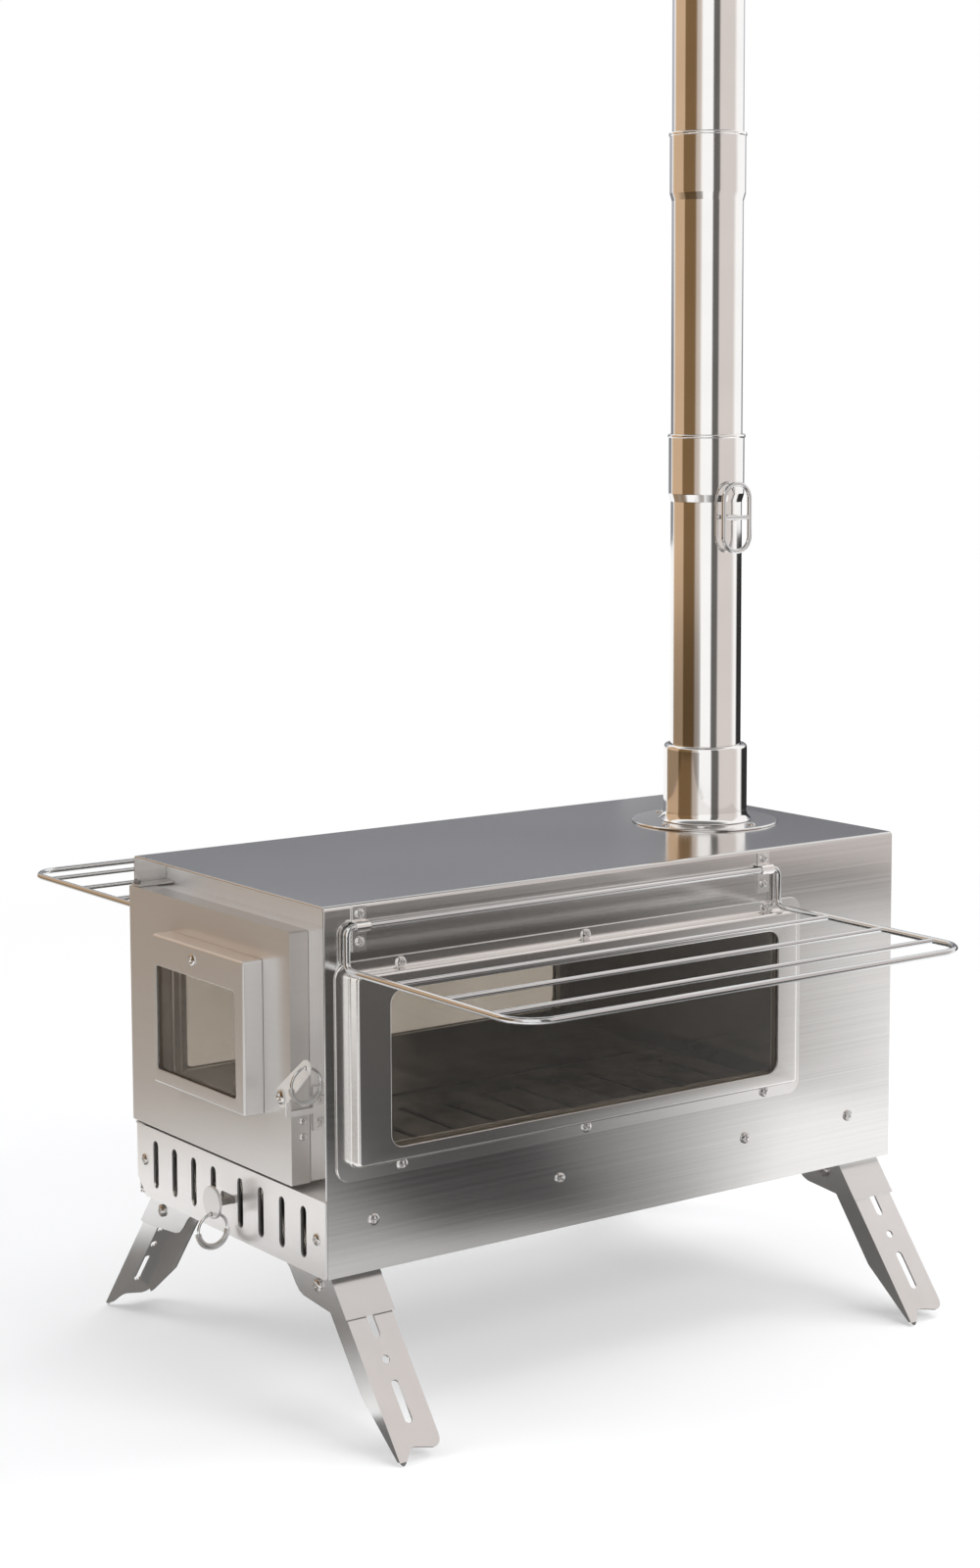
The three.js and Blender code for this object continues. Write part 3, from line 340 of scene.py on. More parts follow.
SHEET = brushed_steel("sheet_brushed", 0.74, 0.16, (3, 3, 700), streak=0.05)
FRONT = brushed_steel("front_brushed", 0.74, 0.28, (4, 4, 300), streak=0.01, metal=0.82)
PANEL = brushed_steel("panel_brushed", 0.88, 0.28, (4, 4, 300), streak=0.01, metal=0.78)
# Front frame round the door: the sheet steel made lighter and more matt than elsewhere, painted light that
# lifts the shaded recess round the door.
LIT_FRONT_FRAME = brushed_steel("front_frame_lit", 0.94, 0.3, (4, 4, 300), streak=0.01, metal=0.35)
LEVER = brushed_steel("lever_satin", 0.9, 0.34, (300, 300, 20), streak=0.02, metal=0.6)
CHANNEL = brushed_steel("leg_satin", 0.9, 0.22, (60, 60, 15), warmth=0.005, streak=0.02)
BRACKET = brushed_steel("bracket_satin", 0.84, 0.26, (20, 20, 300), warmth=0.005, streak=0.02)
TRIM = brushed_steel("trim_satin", 0.9, 0.18, (8, 8, 500), streak=0.02)
PIPE = polished_steel("pipe_polished", 0.92, 0.08)
CHROME = polished_steel("wire_bright", 0.74, 0.08, 0.0)
SCREW = polished_steel("screw_bright", 0.7, 0.18)
SOOT = sooty_steel("steel_sooty", 0.2, 0.5)
PIN = sooty_steel("pin_dull", 0.3, 0.35)
GLASS = smoked_glass("glass_smoked")
ROPE = rope_seal("rope_pale")

# Finish of each CAD node, by the first name here that its own name starts with.
FINISH = {
    "casing": SHEET, "bottom_plate": SHEET, "back_plate": SHEET, "front_frame": LIT_FRONT_FRAME,
    "air_panel": PANEL, "air_slide": PIN, "fire_grate": SOOT, "grate_rail": SOOT,
    "door_panel": FRONT, "door_glass_clamp": PIN, "door_glass": GLASS, "hinge_lug": FRONT, "hinge_pin": PIN,
    "latch_lever": LEVER, "latch_keeper": LEVER, "latch_pivot_screw": SCREW, "flue_damper_blade": SOOT,
    "side_glass": GLASS, "side_gasket": ROPE, "rack_clip": TRIM,
    "leg_pin": SCREW, "leg_bracket": BRACKET, "leg_": CHANNEL,
}
for name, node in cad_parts.items():
    matches = [finish for start, finish in FINISH.items() if name.startswith(start)]
    for holder in node.material_slots:
        holder.material = matches[0] if matches else PIPE


# ---------------------------------------------------------------- chimney
FLUE = (0.0, 475.0, 0.0)
TUBE, WALL, BELL = 30.0, 1.0, 30.8  # outer radius of a pipe, its wall, and inner radius of its socket
PIPES = ((395.1, 327.0), (671.8, 300.0), (921.5, 300.0))  # foot and length of each pipe
ARRESTOR, ARRESTOR_TALL, BARS = 1171.2, 92.0, 16
SLOT_LOW, SLOT_HIGH = 1229.2, 1259.2  # ends of the arrestor's slots
CAP_RADIUS, CAP_RISE = 52.0, 16.0
SOCKET, CONE = 50, 6  # depth of a pipe's socket, and height of the cone below it
BEAD_HALF, BEAD_OUT, BEAD_DROP = 1.5, 0.9, 1.7  # half the bead's height, its reach, its place below the top


def tube_profile(base, length):
    """Radius against height of one pipe: a plain tube, a cone up to the bell, and a rolled bead,
    then back down the inside."""
    top = base + length
    shoulder = top - SOCKET
    foot = shoulder - CONE
    bell = BELL + WALL
    turn = np.linspace(-np.pi / 2, np.pi / 2, 9)
    outer = [(TUBE, base), (TUBE, base + 1), (TUBE, foot - 1), (TUBE + 0.1, foot)]
    outer += [(bell - 0.1, shoulder - 0.5), (bell, shoulder + 0.5), (bell, top - BEAD_DROP - BEAD_HALF)]
    outer += [(bell + BEAD_OUT * np.cos(s), top - BEAD_DROP + BEAD_HALF * np.sin(s)) for s in turn]
    return outer + [(BELL, top), (BELL, shoulder), (TUBE - WALL, foot), (TUBE - WALL, base)]


for number, (base, length) in enumerate(PIPES, 1):
    tube = spun(tube_profile(base, length), FLUE)
    piece(f"pipe_{number}_smooth", f"pipe_{number}", [tube], PIPE,
          [f"pipe_section_{number}"], even=True)

# Radius and height of the collar's section: flared foot, straight wall, rolled mouth.
collar = [(34.3, 395.1), (39, 395.1), (39.2, 395.6), (38.2, 396.6), (36.6, 398.4), (35.7, 401), (35.5, 404),
          (35.5, 455.6), (35.3, 457.6), (34.6, 459), (33.4, 459.8), (32, 460), (30.6, 460), (30.6, 458.8),
          (33.2, 458.6), (34.3, 456)]
piece("collar_smooth", "stove", [spun(collar, FLUE)], PIPE, ["flue_collar"], even=True)
flange = [(28.7, 393.3), (62, 393.3), (62, 394.1), (61.6, 394.6), (60.8, 394.8), (28.7, 394.8)]
piece("flange_smooth", "stove", [spun(flange, FLUE)], TRIM, ["flue_flange"], even=True)


def cap_profile(sheet=1.2, lip=4.9, gap=0.3):
    """Radius against height of the rain cap: a straight cone, its turned-down rim, and the cone
    again one sheet higher."""
    slope = CAP_RISE / CAP_RADIUS
    peak = ARRESTOR + ARRESTOR_TALL + gap + TUBE * slope
    inner = CAP_RADIUS - sheet
    run = np.linspace(0, 1, 12)
    under = [(inner * s, peak - inner * s * slope) for s in run]
    rim = [(inner, peak - CAP_RISE - lip), (inner + 0.6, peak - CAP_RISE - lip - 0.1),
           (CAP_RADIUS, peak - CAP_RISE - lip + 0.3)]
    over = [(CAP_RADIUS * (1 - s), peak + sheet - CAP_RADIUS * (1 - s) * slope) for s in run]
    return under + rim + over


cap = spun(cap_profile(), FLUE)
piece("cap_smooth", "chimney_top", [cap], PIPE, ["rain_cap"], even=True)


def arrestor_bar(middle, half=np.radians(6.47), low=SLOT_LOW - 0.5, high=SLOT_HIGH + 0.5):
    """One curved bar between two slots: the section runs out along the outer radius and back along
    the inner one, is carried straight up, and is drawn in to its middle at both ends."""
    a = np.linspace(middle - half, middle + half, 6)
    arc = np.stack([np.cos(a), np.sin(a)], -1)
    section = np.concatenate([TUBE * arc, (TUBE - WALL) * arc[::-1]])
    core = np.zeros_like(section) + (TUBE - WALL / 2) * np.array([np.cos(middle), np.sin(middle)])
    rows = [np.column_stack([flat, np.full(len(flat), z)]) for flat, z in
            ((core, low), (section, low), (section, high), (core, high))]
    return skin(np.stack(rows) + np.asarray(FLUE), False, True)


def arrestor_band(low, high, edge=0.2):
    """A plain ring of pipe: radius against height of a rectangle with its outer corners cut."""
    outer = [(TUBE - edge, low), (TUBE, low + edge), (TUBE, high - edge), (TUBE - edge, high)]
    return spun([(TUBE - WALL, low)] + outer + [(TUBE - WALL, high)], FLUE)


arrestor = [arrestor_band(ARRESTOR, SLOT_LOW), arrestor_band(SLOT_HIGH, ARRESTOR + ARRESTOR_TALL)]
arrestor += [arrestor_bar(np.radians(360 / BARS * i)) for i in range(BARS)]
piece("arrestor_smooth", "chimney_top", arrestor, PIPE, ["spark_arrestor"])


HANDLE_WIRE, CROSSBAR, STEM = 2.0, 1.9, 2.5  # radii


def damper_handle(x=39.0, z=653.0, half_wide=14.0, half_tall=28.0, far_end=-35.2):
    """The handle's wire loop outside the pipe, its crossbar, and the stem through the pipe."""
    y = FLUE[1]
    loop = rounded(y - half_wide, y + half_wide, z - half_tall, z + half_tall, half_wide - 1, 12)
    loop = np.concatenate([np.full((len(loop), 1), x), loop], 1)
    crossbar = [(x, y - half_wide, z), (x, y - 5, z), (x, y + 5, z), (x, y + half_wide, z)]
    stem = [(far_end, y, z), (-TUBE, y, z), (0, y, z), (TUBE, y, z), (x, y, z)]
    return [wire(loop, HANDLE_WIRE, 16, True), wire(crossbar, CROSSBAR, 12), wire(stem, STEM, 20)]


piece("damper_handle_smooth", "flue_damper", damper_handle(), CHROME, ["flue_damper_handle"])


# ---------------------------------------------------------------- racks, rings and their grips
RACK_X, RACK_Z = 144.4, 377.0  # pivot of the right rack
RACK_LOW, RACK_REACH = 346.0, 213.0  # height of the level part, and its reach out from the pivot
RACK_FRONT, RACK_REAR = 16.0, 430.0
RACK_BEND, RACK_CORNER = 6, 26  # bend radii at the clips and at the outer corners
RODS = (60, 120, 175)  # distances of the three rods from the pivot
FRAME_WIRE, ROD_WIRE = 2.5, 2.0  # wire radii


def rack_shapes():
    """The bent frame wire as one closed loop in four arms, and three rods inside it."""
    outer, middle = RACK_X + RACK_REACH, (RACK_FRONT + RACK_REAR) / 2
    corners = [(RACK_X, middle, RACK_Z), (RACK_X, RACK_FRONT, RACK_Z), (RACK_X, RACK_FRONT, RACK_LOW),
               (outer, RACK_FRONT, RACK_LOW), (outer, RACK_REAR, RACK_LOW), (RACK_X, RACK_REAR, RACK_LOW),
               (RACK_X, RACK_REAR, RACK_Z), (RACK_X, middle, RACK_Z)]
    bends = [RACK_BEND, RACK_BEND, RACK_CORNER, RACK_CORNER, RACK_BEND, RACK_BEND]
    frame_wire = bent(corners, bends, 12)[:-1]
    stations = (RACK_FRONT, 150, 300, RACK_REAR)
    rods = [wire([(RACK_X + out, y, RACK_LOW) for y in stations], ROD_WIRE, 16) for out in RODS]
    return [wire(frame_wire, FRAME_WIRE, 18, True)] + rods


for side, shapes in by_side(rack_shapes()):
    piece(f"rack_{side}_smooth", f"rack_{side}", shapes, CHROME, [f"side_rack_{side}"])

RING_RADIUS, RING_WIRE, COIL_WIRE, COIL_PLAY = 12.8, 1.1, 0.4, 0.6
KNOB_X, KNOB_EYE_Z, KNOB_FACE, KNOB_BACK = 9.0, 139.6, -20.9, -18.4
RING_EYES = {"latch_ring": (122.706, -5.9, 273.283),
             "damper_ring": (KNOB_X, (KNOB_FACE + KNOB_BACK) / 2, KNOB_EYE_Z)}


def ring_shapes(x, y, z, turns=24, cover=172):
    """An upright ring that stands square to the door, hung from its eye, and a coil wound round its
    lower part: the coil's middle line runs along the ring, and its offset from that line turns once
    a winding."""
    middle_z = z - RING_RADIUS
    a = np.linspace(0, TAU, 72, endpoint=False)
    ring = np.stack([np.full(72, x), y + RING_RADIUS * np.sin(a), middle_z - RING_RADIUS * np.cos(a)], -1)
    s = np.linspace(-0.5, 0.5, turns * 16 + 1)
    angle, turn = np.radians(cover) * s, TAU * turns * (s + 0.5)
    across, height = y + RING_RADIUS * np.sin(angle), middle_z - RING_RADIUS * np.cos(angle)
    line = np.stack([np.full(s.shape, x), across, height], -1)
    out = np.stack([np.sin(turn), np.cos(turn) * np.sin(angle), -np.cos(turn) * np.cos(angle)], -1)
    coil = line + (RING_WIRE + COIL_PLAY + COIL_WIRE) * out
    return wire(ring, RING_WIRE, 16, True), wire(coil, COIL_WIRE, 8, lean=out)


for body, place in RING_EYES.items():
    ring, coil = ring_shapes(*place)
    piece(f"{body}_smooth", body, [ring], CHROME, [body])
    piece(f"{body}_coil", body, [coil], CHROME, [f"{body}_grip"])


# ---------------------------------------------------------------- folded window frames
def grown(box, by):
    """Outline of a box (a0, a1, b0, b1, corner) moved outwards by a distance, its corners with it."""
    a0, a1, b0, b1, corner = box
    return rounded(a0 - by, a1 + by, b0 - by, b1 + by, max(corner + by, 0.4))


def folded_frame(outer, pan, view, base, face, plane, bend=2.2, foot_bend=1.5, lip=0.6):
    """Section of a drawn frame carried round its rectangle: flange, wall with a rounded foot and
    shoulder, face, and back along the inside. outer, pan and view are boxes as grown() takes them."""
    out = 1 if face > base else -1
    sweep = np.linspace(0, np.pi / 2, 6)
    if outer:
        top = base + out * THIN
        flange = [(grown(outer, 0), base), (grown(outer, 0), top - out * 0.3), (grown(outer, -0.3), top)]
        foot = [(grown(pan, foot_bend * (1 - np.sin(s))), top + out * foot_bend * (1 - np.cos(s)))
                for s in sweep]
    else:
        flange, foot = [(grown(pan, 0), base)], []
    shoulder = [(grown(pan, -bend * (1 - np.cos(s))), face - out * bend * (1 - np.sin(s))) for s in sweep]
    rim = [(grown(view, lip), face), (grown(view, 0.1), face - out * 0.25),
           (grown(view, 0), face - out * lip), (grown(view, 0), face - out * THIN)]
    inside = [(grown(pan, -THIN), face - out * THIN), (grown(pan, -THIN), base)]
    return hoops(flange + foot + shoulder + rim + inside, plane)


THIN = 1.2  # sheet of the window frames
SIDE_FLANGE, SIDE_PAN, SIDE_VIEW = (8, 457, 188, 351, 12), (20, 445, 200, 342, 4), (49, 424, 211, 328, 10)
SIDE_SEAT, SIDE_FACE = SIDE + 0.3, SIDE + 12
DOOR_PAN, DOOR_VIEW = (-74, 62, 226, 343, 2), (-69.5, 49.5, 237, 319, 3)
DOOR_SEAT, DOOR_FACE, DOOR_BEND = -5.3, -22, 1.8
side_frame = [folded_frame(SIDE_FLANGE, SIDE_PAN, SIDE_VIEW, SIDE_SEAT, SIDE_FACE, "yz")]
door_frame = [folded_frame(None, DOOR_PAN, DOOR_VIEW, DOOR_SEAT, DOOR_FACE, "xz", DOOR_BEND)]
for side, shapes in by_side(side_frame):
    piece(f"side_frame_{side}_folded", "stove", shapes, TRIM,
          [f"side_window_frame_{side}"], even=True)
piece("door_frame_folded", "door", door_frame, FRONT, ["door_window_pan"], even=True)


# ---------------------------------------------------------------- rounded edge of the casing
HEM_SIDE, HEM_TOP = SIDE - 0.75, TOP - 0.75  # middle of the casing's sheet
HEM_FOOT, HEM_END = 177.2, 370.6  # its lower ends on the right and on the left
HEM_BEND, HEM_RADIUS = 2.3, 0.78
hem_corners = [(HEM_SIDE, 0, HEM_FOOT), (HEM_SIDE, 0, HEM_TOP),
               (-HEM_SIDE, 0, HEM_TOP), (-HEM_SIDE, 0, HEM_END)]
hem = wire(bent(hem_corners, [HEM_BEND, HEM_BEND]), HEM_RADIUS)
piece("casing_front_hem", "stove", [hem], CHROME)


# ---------------------------------------------------------------- air knob
KNOB_RADIUS, KNOB_EYE_RADIUS, KNOB_Z = 12.5, 1.9, 148.5


def circle(z, radius):
    """A circle about the knob's middle line: x = r cos a and z = r sin a, about its own height."""
    a = np.linspace(0, TAU, 72, endpoint=False)
    return np.stack([KNOB_X + radius * np.cos(a), z + radius * np.sin(a)], -1)


def knob():
    """A round plate with rounded rims and an eye near its lower edge, as outlines from its front
    over its edge to its back and out through the eye."""
    rims = ((0.5, KNOB_FACE), (0.15, KNOB_FACE + 0.15), (0, KNOB_FACE + 0.5),
            (0, KNOB_BACK - 0.5), (0.15, KNOB_BACK - 0.15), (0.5, KNOB_BACK))
    outside = [(circle(KNOB_Z, KNOB_RADIUS - less), y) for less, y in rims]
    eye = [(circle(KNOB_EYE_Z, KNOB_EYE_RADIUS), y) for y in (KNOB_BACK, KNOB_FACE)]
    return hoops(outside + eye, "xz")


piece("knob_rounded", "air_slide", [knob()], FRONT, ["damper_knob"], even=True)


# ---------------------------------------------------------------- screws
FORWARD, BACKWARD, RIGHTWARD, UPWARD = (0, -1, 0), (0, 1, 0), (1, 0, 0), (0, 0, 1)
BOLT, NUT_ACROSS, NUT_BORE = 2.95, 8.6, 2.9  # radius of a screw's shank, and a nut's two sizes
# A head's crown falls by a share of its height. The arms of its cross are shares of its radius.
CROWN_FALL, ARM_WIDE, ARM_LONG, RECESS_DEPTH, HEAD_SINK = 0.55, 0.13, 0.58, 0.75, 0.05


def screw_head(at, way, radius, tall=1.8, turned_by=0.4):
    """A pan head with a cross recess. Height over the seat falls off as the fourth power of the
    distance from the middle, less a cross whose two arms fade out smoothly to their ends."""
    r = np.concatenate([np.linspace(0, 0.72, 14), [0.8, 0.88, 0.94, 0.98, 1.0, 1.0]])[:, None]
    a = np.linspace(0, TAU, 48, endpoint=False)[None, :]
    crown = tall * (1 - CROWN_FALL * r**4) * np.ones_like(a)
    crown[-1] = -HEAD_SINK
    u, v = r * np.cos(a + turned_by), r * np.sin(a + turned_by)
    level_arm = np.exp(-((v / ARM_WIDE) ** 4) - (u / ARM_LONG) ** 6)
    upright_arm = np.exp(-((u / ARM_WIDE) ** 4) - (v / ARM_LONG) ** 6)
    crown[:-1] -= RECESS_DEPTH * np.maximum(level_arm, upright_arm)[:-1]
    face = np.stack([radius * r * np.cos(a), radius * r * np.sin(a), crown], -1)
    flat = np.concatenate([face, np.stack([0 * a, 0 * a, 0 * a - HEAD_SINK], -1)])
    basis = np.array(Vector(way).to_track_quat("Z", "Y").to_matrix())
    return skin(flat @ basis.T + np.asarray(at, float), False, True)


def both_sides(places, way, radius):
    """Screw heads on the right side, each turned a little further than the last, and their mirror
    images on the left."""
    right = [screw_head(at, way, radius, turned_by=0.7 * i) for i, at in enumerate(places)]
    return right + mirrored(right)


def nut_shape(at, way, across, tall, bore, sides=6):
    """A nut: in polar form a polygon's edge lies at across / 2 over the cosine of the angle to the
    middle of its nearest side. Its upper corners are cut back, and its bore closes the section."""
    a = np.linspace(0, TAU, 12 * sides, endpoint=False)
    edge = across / 2 / np.cos((a + np.pi / sides) % (TAU / sides) - np.pi / sides)
    cut = np.minimum(edge, across / 2 * 1.04)
    inner = np.full_like(a, bore)
    rows = [(inner, 0), (edge, 0), (edge, tall - 0.5), (cut, tall), (inner, tall)]
    ring = np.stack([np.stack([r * np.cos(a), r * np.sin(a), np.full_like(a, h)], -1) for r, h in rows])
    basis = np.array(Vector(way).to_track_quat("Z", "Y").to_matrix())
    return skin(ring @ basis.T + np.asarray(at, float), True, True)


PIN_HEAD, PIN_HEAD_TALL, PIN_NUT_TALL = 5.0, 2.5, 2.5


def pivot_pin(x, y, z, reach):
    """A pan-headed pin that runs rearwards from its seat, with a nut at its far end."""
    shank = [(x, y - 0.4, z), (x, y + 2, z), (x, y + reach / 2, z), (x, y + reach - 0.2, z)]
    nut = nut_shape((x, y + reach - PIN_NUT_TALL, z), BACKWARD, NUT_ACROSS, PIN_NUT_TALL, NUT_BORE)
    return [screw_head((x, y, z), FORWARD, PIN_HEAD, PIN_HEAD_TALL), wire(shank, BOLT, 40), nut]


LEG_PIVOT_X, LEG_PIVOT_Z, LEG_PIN_REACH = 116, 107, 46.1
LEG_PIN_SEATS = {"front": 6.7, "rear": 509.7}
for end, seat in LEG_PIN_SEATS.items():
    pin = pivot_pin(LEG_PIVOT_X, seat, LEG_PIVOT_Z, LEG_PIN_REACH)
    for side, shapes in by_side(pin):
        name = f"leg_pin_{end}_{side}"
        piece(f"{name}_smooth", "stove", shapes, SCREW, [name])


def latch_screw(x=89, z=245, seat=-6.8, nut_seat=-3.5):
    """The screw that the latch lever turns on: its head, its shank through the door, and its nut."""
    shank = [(x, y, z) for y in (-7, -5, 0, 1.8)]
    nut = nut_shape((x, nut_seat, z), BACKWARD, NUT_ACROSS, 4, NUT_BORE)
    return [screw_head((x, seat, z), FORWARD, 5.5, 2.4), wire(shank, BOLT, 40), nut]


KEEPER_SEAT, KEEPER_Y, KEEPER_STUDS = 102.2, 18.4, (242, 225)
STUD_STATIONS, STUD = (102.1, 103, 104, 104.6), 1.55
SQUARE_NUT = {"across": 6.4, "tall": 2, "bore": 1.5, "sides": 4}
keeper_nuts = [nut_shape((KEEPER_SEAT, KEEPER_Y, z), RIGHTWARD, **SQUARE_NUT) for z in KEEPER_STUDS]
keeper_nuts += [wire([(x, KEEPER_Y, z) for x in STUD_STATIONS], STUD, 16) for z in KEEPER_STUDS]
piece("latch_screw_smooth", "door", latch_screw(), SCREW, ["latch_pivot_screw"])
piece("keeper_nuts", "stove", keeper_nuts, SCREW)

# Screws of one side, as (distance behind the front edge, distance below the top).
FRAME_SCREWS = ((64.7, 47.5), (236, 47.5), (64.8, 198.5), (236.5, 198.5), (418.6, 198.5), (418.6, 47.5))
PLATE_SCREWS = ((40.2, 236.5), (212, 235.5), (400, 234.5), (512.7, 234))
CLIP_SCREWS = [(y, drop) for y in (29, 417) for drop in (7.2, 27.6)]
SIDE_HEAD, CLIP_HEAD, FLANGE_AND_CLIP = 4.5, 3.7, 1.5  # head radii, and the sheet under the heads
# Screws of the air panel, as (distance in from the right side, distance below the top).
PANEL_SCREWS, PANEL_SEAT, PANEL_HEAD = ((267.5, 245), (11.7, 247)), -1.8, 4.4
FLUE_SCREWS, FLUE_CIRCLE, FLUE_SEAT, FLUE_HEAD = (10, 100, 190, 280), 51, 394.8, 3.2
WINDOW_SCREW, WINDOW_HEAD = (-12, -22, 332.5), 4.6  # at the top of the door's window frame
EDGE_RIVETS = ((100, 5, 227.5), (100, 5, 215.5))  # on the door's right edge
EDGE_RIVET_HEAD, EDGE_RIVET_TALL = 2.9, 1.6


def on_side(places, off):
    """Places on the right side, a distance off its plate."""
    return [(SIDE + off, y, TOP - drop) for y, drop in places]


def on_flange(bearing):
    """Place on the flue flange's screw circle, at a bearing in degrees."""
    a = np.radians(bearing)
    return (FLUE_CIRCLE * np.cos(a), FLUE[1] + FLUE_CIRCLE * np.sin(a), FLUE_SEAT)


side_screws = both_sides(on_side(FRAME_SCREWS, FLANGE_AND_CLIP), RIGHTWARD, SIDE_HEAD)
side_screws += both_sides(on_side(PLATE_SCREWS, 0), RIGHTWARD, SIDE_HEAD)
side_screws += both_sides(on_side(CLIP_SCREWS, FLANGE_AND_CLIP), RIGHTWARD, CLIP_HEAD)
front_screws = [screw_head((SIDE - x, PANEL_SEAT, TOP - drop), FORWARD, PANEL_HEAD)
                for x, drop in PANEL_SCREWS]
flue_screws = [screw_head(on_flange(bearing), UPWARD, FLUE_HEAD) for bearing in FLUE_SCREWS]
door_screws = [screw_head(WINDOW_SCREW, FORWARD, WINDOW_HEAD)]
door_screws += [screw_head(at, RIGHTWARD, EDGE_RIVET_HEAD, EDGE_RIVET_TALL) for at in EDGE_RIVETS]
piece("side_screws", "stove", side_screws, SCREW)
piece("front_screws", "stove", front_screws, SCREW)
piece("flue_screws", "stove", flue_screws, SCREW)
piece("door_screws", "door", door_screws, SCREW)


# ---------------------------------------------------------------- studio
scene = bpy.context.scene
scene.view_settings.view_transform = "Standard"


def pale_paint(near=0.6, far=2.2, glow_near=0.35):
    """Floor paint that is partly matt and partly glowing white near the stove, and glows all white
    far from it, by the distance from the middle, so that the floor's edge is not seen."""
    paint = Nodes("floor_pale")
    paint.shader.inputs["Base Color"].default_value = (0.9, 0.9, 0.9, 1)
    paint.shader.inputs["Roughness"].default_value = 0.9
    glow = paint.tree.nodes.new("ShaderNodeEmission")
    glow.inputs["Strength"].default_value = 1.0
    fade = paint.tree.nodes.new("ShaderNodeMixShader")
    reach = paint.tree.nodes.new("ShaderNodeVectorMath")
    reach.operation = "LENGTH"
    paint.link(paint.place, reach.inputs[0])
    paint.link(paint.spread(reach.outputs["Value"], glow_near, 1.0, near, far), fade.inputs[0])
    paint.link(paint.shader.outputs[0], fade.inputs[1])
    paint.link(glow.outputs[0], fade.inputs[2])
    paint.link(fade.outputs[0], paint.tree.nodes["Material Output"].inputs["Surface"])
    return paint.material


def pale_floor(reach=30):
    """A wide flat floor at ground height."""
    mesh = bpy.data.meshes.new("floor")
    corners = [(-reach, -reach, 0), (reach, -reach, 0), (reach, reach, 0), (-reach, reach, 0)]
    mesh.from_pydata(corners, [], [(0, 1, 2, 3)])
    floor = bpy.data.objects.new("floor", mesh)
    scene.collection.objects.link(floor)
    floor.data.materials.append(pale_paint())


def white_surround(shade=(0.62, 0.63, 0.65, 1)):
    """White to the camera, to reflections and through glass, and a soft grey light to all else."""
    world = bpy.data.worlds.new("studio")
    scene.world = world
    world.use_nodes = True
    sky = world.node_tree
    path = sky.nodes.new("ShaderNodeLightPath")
    seen = path.outputs["Is Camera Ray"]
    for ray in ("Is Glossy Ray", "Is Transmission Ray"):
        either = sky.nodes.new("ShaderNodeMath")
        either.operation = "MAXIMUM"
        sky.links.new(seen, either.inputs[0])
        sky.links.new(path.outputs[ray], either.inputs[1])
        seen = either.outputs[0]
    level = sky.nodes.new("ShaderNodeMix")
    level.data_type = "RGBA"
    level.inputs[MIX_FIRST].default_value = shade
    level.inputs[MIX_SECOND].default_value = (1, 1, 1, 1)
    sky.links.new(seen, level.inputs[MIX_AMOUNT])
    sky.links.new(level.outputs[MIX_RESULT], sky.nodes["Background"].inputs["Color"])


pale_floor()
white_surround()


def painted_reflection_sheet(name, grid, tone):
    """A glowing sheet of painted reflection: given colours, one to each point of its grid, that only
    shiny surfaces see. It is no lamp: it lights nothing and casts no shadow.
    """
    points, faces = skin(grid, False, False)
    mesh = bpy.data.meshes.new(name)
    mesh.from_pydata(points, [], faces.tolist())
    shade = mesh.color_attributes.new("tone", "FLOAT_COLOR", "POINT")
    shade.data.foreach_set("color", np.concatenate([tone, np.ones(tone.shape[:2] + (1,))], -1).ravel())
    made = bpy.data.objects.new(name, mesh)
    scene.collection.objects.link(made)
    finish = Nodes(name)
    read = finish.tree.nodes.new("ShaderNodeVertexColor")
    read.layer_name = "tone"
    light = finish.tree.nodes.new("ShaderNodeEmission")
    finish.link(read.outputs["Color"], light.inputs["Color"])
    finish.link(light.outputs[0], finish.tree.nodes["Material Output"].inputs["Surface"])
    mesh.materials.append(finish.material)
    made.visible_camera = False
    made.visible_diffuse = False
    made.visible_transmission = False
    made.visible_shadow = False


CARD_STEPS_ROUND, CARD_STEPS_OUT = 49, 25


def colours_round(bearings):
    """Bearings from the first stop to the last, in radians, and the colour at each, read between
    the stops."""
    at, tones = np.array([b for b, _ in bearings], float), np.array([c for _, c in bearings], float)
    a = np.linspace(at[0], at[-1], CARD_STEPS_ROUND)
    return np.radians(a), np.stack([np.interp(a, at, tones[:, k]) for k in range(3)], -1)


def strengths_along(stops):
    """Distances from the first stop to the last, and the strength at each, read between the stops."""
    at, strength = np.array(stops, float).T
    run = np.linspace(at[0], at[-1], CARD_STEPS_OUT)
    return run, np.interp(run, at, strength)


def card(name, radius, bearings, heights):
    """A curved card of painted reflection round the stove. bearings lists (degrees, colour), from the
    front round by the right side, and heights lists (metres, strength). Colour is read between the
    stops along the bearing and multiplied by the strength read up the height."""
    bearing, tone = colours_round(bearings)
    z, strength = strengths_along(heights)
    turn = bearing[:, None] + 0 * z
    grid = np.stack([radius * np.sin(turn), -radius * np.cos(turn), z + 0 * turn], -1)
    painted_reflection_sheet(name, grid, tone[:, None] * strength[None, :, None])


def level_card(name, height, bearings, reaches):
    """A level card of painted reflection, a sector of a ring: bearings are as for card(), and reaches
    lists (metres from the middle, darkness). The colour is white less its own darkness times that of
    the distance."""
    bearing, tone = colours_round(bearings)
    r, darkness = strengths_along(reaches)
    turn = bearing[:, None] + 0 * r
    grid = np.stack([r * np.sin(turn), -r * np.cos(turn), height + 0 * turn], -1)
    painted_reflection_sheet(name, grid, 1 - (1 - tone[:, None]) * darkness[None, :, None])


def plain(level):
    """A colour with red, green and blue alike."""
    return (level, level, level)
